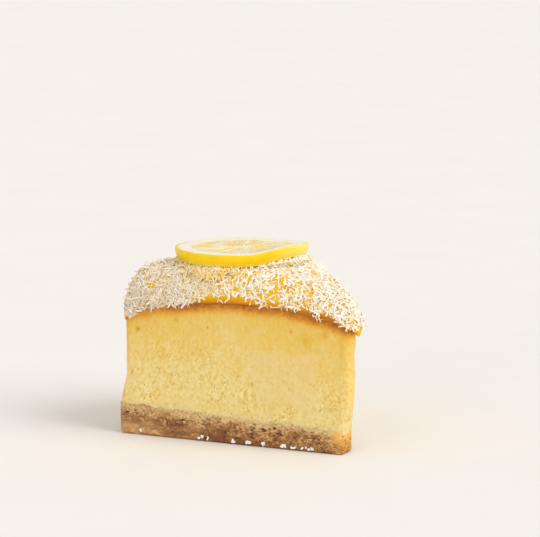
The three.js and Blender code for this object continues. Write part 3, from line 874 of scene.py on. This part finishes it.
def curd_edge_shade(surface):
    """How much painted shade the curd gets towards its lower edge, by its rise over the filling: 1 at its
    edge,
    0 where it has its full colour, which takes a higher rise by the tip; the drip at the tip gets almost
    none."""
    x = surface[..., 0] - cake_middle[0]
    rise = surface[..., 2] - filling_top(surface[..., :2] - cake_middle[:2])
    off_tip = ease(x, -TIP_DISTANCE + 3.0, -TIP_DISTANCE - 4.0)
    by_tip = ease(x, *CURD_ORANGE_TIP)
    return ease(rise - CURD_ORANGE_TIP_RISE * by_tip, CURD_ORANGE_RISE, -CURD_SUNK) * (0.05 + 0.95 * off_tip)


def curd_finish():
    """Set lemon curd: deep yellow, half clear, wet, a little cloudy, with painted shade, orange to brown,
    towards its lower edge.
    """
    material, tree, shader = new_finish(
        "lemon_curd", Subsurface_Weight=0.55, Subsurface_Scale=0.004, Subsurface_Radius=(1.0, 0.55, 0.08),
        Specular_IOR_Level=0.12, Coat_Weight=0.03, Coat_Roughness=0.15)
    yellow = ramp_node(tree, noise_node(tree, 5.0, detail=4.0), [
        (0.3, paint(252, 184, 14)),
        (0.55, paint(253, 198, 30)),
        (0.75, paint(254, 214, 70)),
    ])
    # Painted shade along the curd's lower edge, where it meets the filling: orange, then brown at the very
    # edge.
    orange = ramp_node(tree, read_mark(tree, "edge"), [
        (0.66, paint(234, 160, 8)),
        (0.96, paint(194, 118, 26)),
    ])
    edged = blend_node(tree, span_node(tree, read_mark(tree, "edge"), 0.0, 0.6), yellow, orange)
    roughness = span_node(tree, noise_node(tree, 2.5), 0.3, 0.7, 0.2, 0.38)
    ripple = bump_node(tree, noise_node(tree, 1.6, detail=2.0), 0.15, 0.6)
    feed(tree, shader, Base_Color=edged, Roughness=roughness, Normal=ripple)
    return material


curd_surface = curd_rings()
lemon_curd = ring_piece(
    "lemon_curd_cushion",
    curd_surface,
    over_hub(filling_top(HUB[None])[0] - CURD_SUNK),
    over_hub(curd_top(HUB[None])[0]),
)
mark(lemon_curd, "edge", curd_edge_shade(curd_surface))
lemon_curd.data.materials.append(curd_finish())
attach(lemon_curd, "root")
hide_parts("lemon_curd")


# Coconut: dried shreds of white coconut flesh, pressed into the curd by hand all over its top and sides.
# They lie every way, some standing off and some hanging; a strip of curd stays bare along the cuts.
# More lean on the lemon's rind, and a few fell and stuck low on the base.

SHRED_COUNT = 11500
SHRED_LENGTH = 2.25
SHRED_LENGTH_SPREAD = 0.4
SHRED_WIDTH = 0.6
SHRED_WIDTH_SPREAD = 0.33
SHRED_THICKNESS = 0.26
SHRED_STATIONS = 3
SHRED_LIFT = np.radians(42)
SHRED_CURL = 0.45
SHRED_ROLL = 0.3
COAT_FIRST_RING = 6
COAT_SUNK = 0.05
COAT_DEPTH = 0.32
END_HEAP = 0.5
END_HEAP_TIP = (-34.0, -16.0)
END_HEAP_RIM = 0.6
END_HEAP_RIM_IN = (13.0, 7.0)
END_HEAP_RIM_OUT = (0.6, 3.0)
HEAP_DEPTH = 2.4
HEAP_GAP = 0.2
CLUMP_SIZE = 5.5
STAIN_AND_SHADE_TO = -50.0
RIM_SIDE_SHADE_FROM = -60.0
RIM_SIDE_SHADE_TO = -106.0
LEANING_COUNT = 1400
LEANING_LIFT = (0.0, 0.2)
LEANING_LENGTH = (1.2, 2.4)
LEANING_WIDTH = (0.4, 0.7)
LEANING_CLEAN = (0.5, 1.0)
LOOSE_COUNT = 84
LOOSE_LIFT = (0.0, 0.3)
LOOSE_LENGTH = (0.8, 1.5)
LOOSE_WIDTH = (0.6, 1.0)
LOOSE_LEVEL = (0.8, 1.8)
LOOSE_OFF = 0.3
LOOSE_PLACES = (-103.0, -74.0, -71.0, -59.0, -52.0, -45.0, -36.0, -31.5, -25.0)
LOOSE_SPREAD = 1.3
LOOSE_ELSEWHERE = 0.18
LOOSE_OFF_TIP = -14.0
BARE_HEIGHT = 2.6
BARE_FROM = -77.0
BARE_TO = -13.0
BARE_PATCH = np.array([-39.5, 1.2])
BARE_PATCH_REACH = 2.6
LAPPED = 2.2
LAPPED_TO = -92.0
THIN_FROM = -72.0
THIN_TO = -8.0
LEMON_DISTANCE = 76.0
LEMON_TOP_RADIUS = 28.0
LEMON_UNDER_RADIUS = 26.7
LEMON_SEAT_HEIGHT = 73.4
LEMON_TURN = np.radians(26)
LEMON_CURL = 1.5
LEMON_TWIST = 2.4
LEMON_CURL_START = 0.05
LEMON_CURL_END = 0.88
BESIDE_LEMON = 9.0
lemon_place = around(LEMON_DISTANCE, SLICE_ANGLE / 2)
draws = np.random.default_rng(7)


def unit(vectors):
    """The vectors at length 1."""
    return vectors / np.linalg.norm(vectors, axis=-1, keepdims=True)


def lemon_bend(x, y):
    """How far the lemon slice bends up at a place from its middle: a smoothstep, strongest to the front."""
    rise = np.maximum(LEMON_CURL - LEMON_TWIST * y / LEMON_TOP_RADIUS, 0)
    return ease(x / LEMON_TOP_RADIUS, LEMON_CURL_START, LEMON_CURL_END) * rise


def lemon_room(points):
    """Free height between a point on the curd and the lemon lying above it, or plenty beside the lemon."""
    away = points[..., :2] - cake_middle[:2] - lemon_place
    x = away[..., 0] * np.cos(LEMON_TURN) + away[..., 1] * np.sin(LEMON_TURN)
    y = away[..., 1] * np.cos(LEMON_TURN) - away[..., 0] * np.sin(LEMON_TURN)
    room = LEMON_SEAT_HEIGHT + lemon_bend(x, y) - points[..., 2]
    return np.where(np.linalg.norm(away, axis=-1) < LEMON_TOP_RADIUS + 0.6, room, BESIDE_LEMON)


def end_heap(plan):
    """How much coconut heaps up at a plan place: 1 on the shoulder by the tip, less by the rim, 0 between."""
    by_tip = ease(plan[..., 0], *END_HEAP_TIP)
    from_rim = CURD_RIM_RADIUS - np.linalg.norm(plan, axis=-1)
    by_rim = ease(from_rim, *END_HEAP_RIM_IN) * ease(from_rim, *END_HEAP_RIM_OUT)
    return np.maximum(by_tip, END_HEAP_RIM * by_rim)


def curd_spots(count):
    """Spots spread evenly over the curd's outside: squares of its grid drawn by area times how thickly
    coconut lies there, and a random place in each. Gives the spots, the outward direction there, and how
    much each is at the coat's lower edge, where shreds hang."""
    grid = curd_surface[COAT_FIRST_RING:]
    following = np.roll(grid, -1, 1)
    corner, side, up = grid[:-1], following[:-1] - grid[:-1], grid[1:] - grid[:-1]
    square = np.cross(side, up)
    middle = corner + (side + up) / 2 - cake_middle
    plan = middle[..., :2]
    x = plan[..., 0]
    flat = raised(plan, 0.0)
    above = middle[..., 2] - filling_top(plan)

    clumps = layered_noise(flat, CLUMP_SIZE, 121)
    by_cut = ease(np.minimum(plan[..., 1], curd_to_rear(plan)), 7.0, 4.0)
    in_strip = ease(x, BARE_FROM - 5, BARE_FROM + 8) * ease(x, BARE_TO + 4, BARE_TO - 6)
    lapped = ease(x, LAPPED_TO + 4, LAPPED_TO - 4) * by_cut
    bare_to = BARE_HEIGHT * (1 + 2.4 * clumps) * in_strip * by_cut - LAPPED * lapped
    covered = np.maximum(ease(above, bare_to - 0.5, bare_to + 1.2), 0.08 * ease(above, -0.2, 0.4))
    thin = np.clip(0.75 + 0.7 * layered_noise(flat, 5.0, 123), 0.2, 1.4)
    thin = thin * ease(np.linalg.norm(plan - BARE_PATCH, axis=-1), 0.3 * BARE_PATCH_REACH, BARE_PATCH_REACH)
    in_middle = ease(x, THIN_FROM - 6, THIN_FROM + 4) * ease(x, THIN_TO + 6, THIN_TO - 6)
    thin = thin * (1 - 0.42 * in_middle) * (1 + 0.25 * end_heap(plan))
    room = lemon_room(middle + cake_middle)
    from_edge = LEMON_TOP_RADIUS - np.linalg.norm(plan - lemon_place, axis=-1)
    heaped = (1 + 1.2 * np.clip(room, 0, HEAP_DEPTH)) * ease(from_edge, 7.0, 4.0)
    open_above = ease(room, 0.8, 2.6) * np.where(room < BESIDE_LEMON, heaped, 1.0)

    weight = (np.linalg.norm(square, axis=-1) * covered * (0.15 + thin) * open_above).ravel()
    pick = draws.choice(len(weight), count, p=weight / weight.sum())
    shift = draws.random((count, 2))
    spot = corner.reshape(-1, 3)[pick] + side.reshape(-1, 3)[pick] * shift[:, :1]
    spot = spot + up.reshape(-1, 3)[pick] * shift[:, 1:]
    hanging = ease(above - bare_to, 2.6, 0.6).ravel()[pick]
    return spot, unit(square.reshape(-1, 3)[pick]), hanging


def coat_shreds(count):
    """Shreds of the coat: spots on the curd, each moved out by a random share of the coat's depth and by its
    lift, or under the lemon's curl by a share of the room there. Deep ones and those by the lemon are tinted
    yellow, partly curd stain and partly painted warm shade, and those to the rim are darkened to beige as
    painted shade. Gives one array for each argument of shred_piece."""
    spots, normals, hanging = curd_spots(count)
    lengths = SHRED_LENGTH * np.exp(draws.normal(0, SHRED_LENGTH_SPREAD, count))
    widths = SHRED_WIDTH * np.exp(draws.normal(0, SHRED_WIDTH_SPREAD, count))
    plan = spots[:, :2] - cake_middle[:2]
    x = plan[:, 0]
    rim_foot = ease(np.linalg.norm(plan, axis=-1), CURD_RIM_RADIUS - 3.0, CURD_RIM_RADIUS - 0.6)
    lifts = SHRED_LIFT * draws.random(count) ** 5 * (1 - 0.85 * rim_foot)
    heap = END_HEAP * end_heap(plan) * (1 - hanging)
    share = draws.random(count)
    off = (COAT_DEPTH + heap) * share - COAT_SUNK - 0.2 * rim_foot
    off = off + lengths * np.sin(lifts) * 0.4
    # Deep, flat shreds turn yellow: partly curd stain, partly painted warm shade between the shreds.
    clear_of_stain_and_shade = 0.85 * ease(share + np.sin(lifts), 0.05, 0.85) + 0.15 * draws.random(count)
    room = lemon_room(spots)
    heap_off = 0.1 + np.clip(room - HEAP_GAP, 0, HEAP_DEPTH) * draws.random(count)
    off = np.where(room < BESIDE_LEMON, heap_off, off)
    lift_room = np.clip(2 * (room - HEAP_GAP / 2 - off) / lengths, 0, 1)
    lifts = np.minimum(lifts, np.arcsin(lift_room))
    off_lemon = np.linalg.norm(plan - lemon_place, axis=-1) - LEMON_TOP_RADIUS
    # Shreds by the lemon turn yellow too: painted warm shade under the lemon, partly stain; less towards the
    # tip, where light reaches under the curl.
    by_rim = between(0.15, 1.0, ease(x, STAIN_AND_SHADE_TO, STAIN_AND_SHADE_TO - 8))
    clear_of_stain_and_shade = 0.93 * clear_of_stain_and_shade * (1 - 0.54 * ease(off_lemon, 4.0, -0.5) * by_rim)
    # Painted shade on the rim side, away from the light, plus a little random dullness.
    rim_side_shade = 0.6 * ease(x, RIM_SIDE_SHADE_FROM, RIM_SIDE_SHADE_TO)
    rim_side_shade = rim_side_shade * np.where(draws.random(count) < 0.3, 0.2, 1.15)
    rim_side_shade = np.clip(rim_side_shade + 0.2 * draws.random(count) ** 2, 0, 1)
    return spots + normals * off[:, None], normals, hanging, lifts, lengths, widths, clear_of_stain_and_shade, rim_side_shade


def leaning_spots(count):
    """Spots round the lemon's lower edge where shreds lean on its rind, the surface there falling away from
    the edge, and the way out of it."""
    turns = np.linspace(0, 2 * np.pi, 720, endpoint=False)
    gap = lemon_bend(LEMON_UNDER_RADIUS * np.cos(turns), LEMON_UNDER_RADIUS * np.sin(turns))
    pick = draws.choice(len(turns), count, p=(1 + 0.7 * gap) / (1 + 0.7 * gap).sum())
    angle, gap = turns[pick], gap[pick]
    out = 0.1 + 1.3 * draws.random(count)
    radius = LEMON_UNDER_RADIUS + out
    height = LEMON_SEAT_HEIGHT + gap + 0.4 - (1.9 + 0.8 * gap) * draws.random(count) - 0.7 * out
    way = np.stack([np.cos(angle + LEMON_TURN), np.sin(angle + LEMON_TURN)], -1)
    spots = standing(lemon_place + radius[:, None] * way, height)
    return spots, unit(np.concatenate([way, np.full((count, 1), 0.5)], -1))


def loose_spots(count):
    """Spots low on the side of the base where fallen shreds stuck, and the way out of the base there: on the
    front cut in small groups round given places, and evenly on the other sides."""
    along = base_plan[BASE_ROWS // 2, :, 0]
    in_front = base_plan[BASE_ROWS // 2, :, 1] < 1.2
    groups = sum(bell(along - place, LOOSE_SPREAD) for place in LOOSE_PLACES)
    weight = np.where(in_front, groups, LOOSE_ELSEWHERE * (along < LOOSE_OFF_TIP))
    across = draws.choice(len(weight), count, p=weight / weight.sum())
    level = draws.uniform(*LOOSE_LEVEL, count)
    row = np.round(level / BASE_HEIGHT_TIP * BASE_ROWS).astype(int)
    outward = np.concatenate([wall_outward(base_plan)[row, across], np.full((count, 1), 0.3)], -1)
    return base_rings[row, across] + LOOSE_OFF * outward, unit(outward)


def side_draws(leaning_span, loose_span):
    """Random numbers within a span for the leaning shreds, then for the loose ones."""
    return draws.uniform(*leaning_span, LEANING_COUNT), draws.uniform(*loose_span, LOOSE_COUNT)


def shred_piece(name, spots, normals, hanging, lifts, lengths, widths, tones, rim_side_shades):
    """Bent strips as one mesh: each is a flat triangle of three corners carried along a short curve through
    its spot that heads along the surface, downhill where it hangs, lifts by its own angle and curls up and
    sideways with the square of the way along it, narrowing to both ends."""
    count = len(spots)
    heading = unit(np.cross(normals, draws.normal(size=(count, 3))))
    downhill = normals * normals[:, 2:] - np.array([0, 0, 1.0])
    heading = heading + 0.6 * hanging[:, None] * downhill
    heading = unit(heading - normals * (heading * normals).sum(-1, keepdims=True))
    across = np.cross(normals, heading)
    way = heading * np.cos(lifts)[:, None] + normals * np.sin(lifts)[:, None]
    rise = unit(np.cross(way, across))
    roll = draws.uniform(-SHRED_ROLL, SHRED_ROLL, count)[:, None]
    across, rise = across * np.cos(roll) + rise * np.sin(roll), rise * np.cos(roll) - across * np.sin(roll)
    along = np.linspace(-0.5, 0.5, SHRED_STATIONS)
    curl = draws.normal(0, SHRED_CURL, count)[:, None, None]
    sweep = draws.normal(0, SHRED_CURL, count)[:, None, None]
    arc = (4 * along**2)[None, :, None]
    length = lengths[:, None, None]
    line = spots[:, None] + way[:, None] * along[None, :, None] * length
    line = line + (rise[:, None] * curl + across[:, None] * sweep) * arc * length * 0.12
    narrowing = (1 - 0.3 * np.abs(2 * along) ** 2.5)[None, :, None]
    half_width = widths[:, None, None] / 2 * narrowing
    half_depth = SHRED_THICKNESS / 2 * (0.5 + 0.5 * narrowing)
    ridge = draws.uniform(-0.6, 0.6, count)[:, None, None]
    sides = np.stack([
        line + across[:, None] * half_width - rise[:, None] * half_depth,
        line + across[:, None] * half_width * ridge + rise[:, None] * half_depth,
        line - across[:, None] * half_width - rise[:, None] * half_depth,
    ], 2)
    index = np.arange(count * SHRED_STATIONS * 3).reshape(count, SHRED_STATIONS, 3)
    onward = np.roll(index, -1, 2)
    walls = np.stack([index[:, :-1], onward[:, :-1], onward[:, 1:], index[:, 1:]], -1).reshape(-1, 4)
    ends = np.concatenate([index[:, 0, ::-1], index[:, -1]])
    piece = mesh_piece(name, sides.reshape(-1, 3), walls, ends, False)
    mark(piece, "tone", np.repeat(tones, SHRED_STATIONS * 3), ())
    mark(piece, "rim_side_shade", np.repeat(rim_side_shades, SHRED_STATIONS * 3), ())
    return piece


def coconut_finish():
    """Dried coconut: white, tinted yellow where it lies deep or by the lemon, partly curd stain and partly
    painted warm shade, greyish beige to the rim side as painted shade, with faint grain and a waxy sheen.
    """
    material, tree, shader = new_finish(
        "coconut", Subsurface_Weight=0.02, Subsurface_Scale=0.0003, Subsurface_Radius=(1.0, 0.95, 0.85),
        Specular_IOR_Level=0.4)
    # Tone 0 is the yellow of curd stain and painted warm shade; 1 is plain white.
    white = ramp_node(tree, read_mark(tree, "tone"), [
        (0.0, paint(254, 208, 84)),
        (0.35, paint(254, 234, 176)),
        (0.65, paint(255, 248, 230)),
        (1.0, paint(255, 253, 249)),
    ])
    # Painted shade to the rim side: a greyish beige.
    dulled = blend_node(tree, read_mark(tree, "rim_side_shade"), white, paint(224, 206, 180))
    grain = noise_node(tree, 0.7, detail=3.0)
    toned = blend_node(tree, span_node(tree, grain, 0.45, 0.75, 0.0, 0.25), dulled, paint(240, 222, 184))
    roughness = span_node(tree, grain, 0.3, 0.7, 0.45, 0.65)
    fine = bump_node(tree, noise_node(tree, 0.3, detail=2.0), 0.06, 0.5)
    feed(tree, shader, Base_Color=toned, Roughness=roughness, Normal=fine)
    return material


spots, normals, hanging, lifts, lengths, widths, clear_of_stain_and_shade, rim_side_shade = coat_shreds(SHRED_COUNT)
leaning, leaning_normals = leaning_spots(LEANING_COUNT)
# Leaning shreds on the rim side are yellower: painted warm shade under the lemon, partly stain.
leaning_clear_of_stain_and_shade = 1 - 0.4 * ease(leaning[:, 0] - cake_middle[0], STAIN_AND_SHADE_TO, STAIN_AND_SHADE_TO - 8)
loose, loose_normals = loose_spots(LOOSE_COUNT)
loose_clean = np.ones(LOOSE_COUNT)
side_blank = np.zeros(LEANING_COUNT + LOOSE_COUNT)
coconut = shred_piece(
    "coconut_shreds",
    np.concatenate([spots, leaning, loose]),
    np.concatenate([normals, leaning_normals, loose_normals]),
    np.concatenate([hanging, side_blank]),
    np.concatenate([lifts, *side_draws(LEANING_LIFT, LOOSE_LIFT)]),
    np.concatenate([lengths, *side_draws(LEANING_LENGTH, LOOSE_LENGTH)]),
    np.concatenate([widths, *side_draws(LEANING_WIDTH, LOOSE_WIDTH)]),
    np.concatenate([clear_of_stain_and_shade, leaning_clear_of_stain_and_shade * draws.uniform(*LEANING_CLEAN, LEANING_COUNT), loose_clean]),
    np.concatenate([rim_side_shade, side_blank]),
)
coconut.data.materials.append(coconut_finish())
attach(coconut, "root")


# Lemon slice: a round of fresh lemon about 5 mm thick, laid on top with its tip side curled up.
# Waxy pored rind outside, then white pith, then segments of juice sacs between thin membranes round a
# pale core.

LEMON_THICKNESS = 5.3
LEMON_EDGE_ROUND = 0.45
LEMON_BULGE = 0.35
LEMON_RIND = 1.1
LEMON_PITH_WIDTH = 6.6
LEMON_CORE_RADIUS = 2.6
LEMON_SEGMENTS = 9
LEMON_PULP_DIP = 0.28
LEMON_STEPS = 432
LEMON_END_MARKS = dict(sac=(0.5, 0.5), pith=(1.0, 1.0), inner=(0.0, 1.0))
MEMBRANE_WIDTH = 0.45
SAC_SIZE = 1.5
SAC_RELIEF = 0.16
RIND_PORE_SIZE = 1.15
RIND_PORE_DEPTH = 0.09


def lemon_profile():
    """Radius and level of the slice's outline from under its middle, round its rounded lower edge, up the
    slanting rind, over the upper edge and in to the middle."""
    low = np.linspace(0.06, 1, 8) ** 0.8
    turn = np.radians(np.linspace(-80, 0, 5))
    wall = np.linspace(0, 1, 16)[1:]
    under_edge = LEMON_UNDER_RADIUS - LEMON_EDGE_ROUND
    top_edge = LEMON_TOP_RADIUS - LEMON_EDGE_ROUND
    inner = np.linspace(0, 1, 62)[1:]
    radius = np.concatenate([
        under_edge * low,
        under_edge + LEMON_EDGE_ROUND * np.cos(turn),
        between(LEMON_UNDER_RADIUS, LEMON_TOP_RADIUS, wall) + LEMON_BULGE * np.sin(np.pi * wall),
        top_edge + LEMON_EDGE_ROUND * np.cos(-turn[::-1])[1:],
        top_edge * (1 - inner) + 0.12 * inner,
    ])
    level = np.concatenate([
        0 * low,
        LEMON_EDGE_ROUND + LEMON_EDGE_ROUND * np.sin(turn),
        LEMON_EDGE_ROUND + (LEMON_THICKNESS - 2 * LEMON_EDGE_ROUND) * wall,
        LEMON_THICKNESS - LEMON_EDGE_ROUND + LEMON_EDGE_ROUND * np.sin(-turn[::-1])[1:],
        np.full(len(inner), LEMON_THICKNESS),
    ])
    return radius, level


def lemon_rings():
    """Rings of the slice: the profile turned about its middle, the pulp sunk between pith and membranes and
    roughened by juice sacs drawn out along the radius, the rind pitted, and the tip side bent up by a
    smoothstep that is strongest to the front. Gives the rings, and as marks how much each point is pulp,
    its sac's own number, how much it is pith, how much painted light the rind gets where it curls up and at
    its lower edge, how much it is flesh, and how ripe its sac is."""
    radius, level = lemon_profile()
    angle = np.linspace(0, 2 * np.pi, LEMON_STEPS, endpoint=False)[None]
    radius, level = radius[:, None], level[:, None]
    upper = ease(level, LEMON_THICKNESS - 0.1, LEMON_THICKNESS)
    wander = 0.05 * np.sin(3 * angle + 0.7) + 0.04 * np.sin(5 * angle + 2.0)
    turns = (angle + wander) * LEMON_SEGMENTS / (2 * np.pi)
    beside = np.abs(turns - np.round(turns)) * 2 * np.pi / LEMON_SEGMENTS
    off_membrane = radius * np.sin(beside)
    pulp_edge = LEMON_TOP_RADIUS - LEMON_PITH_WIDTH - 1.6 * np.clip(1 - off_membrane / 2.6, 0, 1) ** 2
    pulp = ease(pulp_edge - radius, 0.0, 0.7) * ease(off_membrane, MEMBRANE_WIDTH * 0.2, MEMBRANE_WIDTH * 1.5)
    pulp = pulp * ease(radius, LEMON_CORE_RADIUS * 0.8, LEMON_CORE_RADIUS * 1.3) * upper
    fan = np.stack(np.broadcast_arrays(radius * 0.42, angle * 15.0, np.round(turns) * 40), -1)
    sac, sac_number = nearest_grain(fan, SAC_SIZE, 131)
    flat = np.stack([radius * np.cos(angle), radius * np.sin(angle), level + 0 * angle], -1)
    on_rind = ease(radius, LEMON_UNDER_RADIUS - 1.0, LEMON_UNDER_RADIUS - 0.2) * (1 - upper)
    pore, _ = nearest_grain(flat, RIND_PORE_SIZE, 141)
    pitted = RIND_PORE_DEPTH * on_rind * np.clip(1 - (pore / 0.38) ** 2, 0, 1)
    round_off = 1 + 0.012 * np.sin(2 * angle + 1.0) + 0.006 * np.sin(5 * angle)
    out = radius * round_off - pitted + 0.08 * on_rind * layered_noise(flat, 5.0, 151)
    sunk = pulp * (LEMON_PULP_DIP - SAC_RELIEF * (0.7 - sac)) + 0.06 * upper * layered_noise(flat, 2.2, 153)
    x, y = out * np.cos(angle), out * np.sin(angle)
    height = LEMON_SEAT_HEIGHT + level + lemon_bend(x, y) - sunk
    plan = np.stack([
        x * np.cos(LEMON_TURN) - y * np.sin(LEMON_TURN),
        x * np.sin(LEMON_TURN) + y * np.cos(LEMON_TURN),
    ], -1)
    # Painted light on the rind where it curls up towards the light, and towards its lower edge against the
    # shade there.
    rind_painted_light = ease(x / LEMON_TOP_RADIUS, 0.3, 0.95) * ease(y / LEMON_TOP_RADIUS, 0.5, -0.3)
    marks = dict(
        pulp=pulp,
        sac=sac_number,
        pith=ease(LEMON_TOP_RADIUS - LEMON_RIND - out, -0.25, 0.25) * np.maximum(upper, level < 0.05),
        rind_painted_light=np.maximum(rind_painted_light, 0.8 * ease(level, 2.0, 0.3)),
        inner=ease(LEMON_TOP_RADIUS - LEMON_PITH_WIDTH - radius, -0.4, 0.8) * upper + 0 * pulp,
        ripe=ease(0.7 * soft_noise(flat, 6.0, 155) + 0.9 * (sac_number - 0.5), 0.0, 0.25),
    )
    return standing(plan + lemon_place, height), marks


def lemon_finish():
    """Fresh lemon: glossy yellow rind, paler with painted light where it curls up and at its lower edge,
    white pith, translucent pale pulp with brighter juice sacs.
    """
    material, tree, shader = new_finish(
        "lemon", Subsurface_Weight=0.4, Subsurface_Scale=0.003, Subsurface_Radius=(1.0, 0.7, 0.2),
        Specular_IOR_Level=0.22)
    mottle = span_node(tree, noise_node(tree, 4.0), 0.35, 0.65)
    rind = blend_node(tree, mottle, paint(246, 202, 4), paint(250, 212, 14))
    # Painted light: the rind paler where it curls up and near its lower edge.
    lit = tint_node(tree, "rind_painted_light", 0.6, rind, paint(255, 238, 130))
    threads = span_node(tree, noise_node(tree, 1.2, detail=4.0), 0.4, 0.7)
    pith = blend_node(tree, threads, paint(253, 247, 234), paint(249, 238, 208))
    sacs = ramp_node(tree, read_mark(tree, "sac"), [
        (0.0, paint(246, 214, 124)),
        (0.5, paint(251, 232, 174)),
        (1.0, paint(254, 243, 210)),
    ])
    skin = blend_node(tree, read_mark(tree, "pith"), lit, pith)
    inner = blend_node(tree, read_mark(tree, "inner"), skin, paint(251, 235, 190))
    pulp = tint_node(tree, "ripe", 0.85, sacs, paint(247, 200, 40))
    flesh = blend_node(tree, read_mark(tree, "pulp"), inner, pulp)
    roughness = span_node(tree, read_mark(tree, "pulp"), 0.0, 1.0, 0.36, 0.16)
    fine = bump_node(tree, noise_node(tree, 0.6, detail=3.0), 0.06, 0.5)
    feed(tree, shader, Base_Color=flesh, Roughness=roughness, Normal=fine)
    return material


lemon_surface, lemon_marks = lemon_rings()
lemon_middle = np.array([*lemon_place, LEMON_SEAT_HEIGHT]) + cake_middle
lemon_slice = ring_piece(
    "lemon_round", lemon_surface, lemon_middle, lemon_middle + np.array([0, 0, LEMON_THICKNESS]))
for name, values in lemon_marks.items():
    mark(lemon_slice, name, values, LEMON_END_MARKS.get(name, (0.0, 0.0)))
lemon_slice.data.materials.append(lemon_finish())
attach(lemon_slice, "root")
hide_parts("lemon_slice")


# Studio: a wide pale floor, light from all round, a broad soft light from the right and a weaker one from
# the front, and the camera low at the front, turned towards the tip.

FLOOR_HALF = 12.0
SKY_STRENGTH = 0.7
KEY_LIGHT = dict(azimuth=85, elevation=39, strength=1.5, spread=40, colour=(1.0, 0.98, 0.95))
FILL_LIGHT = dict(azimuth=-5, elevation=8, strength=0.55, spread=30, colour=(1.0, 0.99, 0.97))
CAMERA_AZIMUTH = 25.93
CAMERA_ELEVATION = 8.55
CAMERA_DISTANCE = 1150.0
CAMERA_AIM = np.array([-42.3, 0.0, 75.07])
CAMERA_LENS = 187.46
CAMERA_SIGHT = 100.0


def away_from(azimuth, elevation):
    """Direction from the object towards a light or camera, from angles in degrees: azimuth 0 is in front,
    90 on the right."""
    turn, tilt = np.radians([azimuth, elevation])
    return np.array([np.sin(turn) * np.cos(tilt), -np.cos(turn) * np.cos(tilt), np.sin(tilt)])


def floor_finish():
    """Plain pale card, faintly mottled."""
    material, tree, shader = new_finish("pale_floor", Specular_IOR_Level=0.1)
    mottle = span_node(tree, noise_node(tree, 60.0), 0.3, 0.7)
    pale = blend_node(tree, mottle, paint(243, 241, 238), paint(245, 243, 240))
    roughness = span_node(tree, noise_node(tree, 2.0), 0.3, 0.7, 0.85, 0.95)
    feed(tree, shader, Base_Color=pale, Roughness=roughness)
    return material


def soft_sun(name, azimuth, elevation, strength, spread, colour):
    """A broad soft light from far off: spread is the angle that it fills in the sky."""
    lamp = bpy.data.objects.new(name, bpy.data.lights.new(name, "SUN"))
    lamp.data.energy = strength
    lamp.data.angle = np.radians(spread)
    lamp.data.color = colour
    lamp.rotation_mode = "QUATERNION"
    lamp.rotation_quaternion = Vector(away_from(azimuth, elevation)).to_track_quat("Z", "Y")
    bpy.context.scene.collection.objects.link(lamp)


floor_corners = FLOOR_HALF / MM * np.array([[-1, -1, 0], [1, -1, 0], [1, 1, 0], [-1, 1, 0]])
floor = mesh_piece("floor", floor_corners, np.array([[0, 1, 2, 3]]), np.zeros((0, 3), int))
floor.data.materials.append(floor_finish())

world = bpy.data.worlds.new("studio")
world.use_nodes = True
world.node_tree.nodes["Background"].inputs["Color"].default_value = paint(255, 252, 248)
world.node_tree.nodes["Background"].inputs["Strength"].default_value = SKY_STRENGTH
bpy.context.scene.world = world
soft_sun("key_light", **KEY_LIGHT)
soft_sun("fill_light", **FILL_LIGHT)

camera = bpy.data.objects.new("camera", bpy.data.cameras.new("camera"))
camera_back = away_from(CAMERA_AZIMUTH, CAMERA_ELEVATION)
camera.data.lens = CAMERA_LENS
camera.data.clip_end = CAMERA_SIGHT
camera.location = (cake_middle + CAMERA_AIM + CAMERA_DISTANCE * camera_back) * MM
camera.rotation_mode = "QUATERNION"
camera.rotation_quaternion = Vector(camera_back).to_track_quat("Z", "Y")
bpy.context.scene.collection.objects.link(camera)
bpy.context.scene.camera = camera
bpy.context.scene.view_settings.view_transform = "Standard"
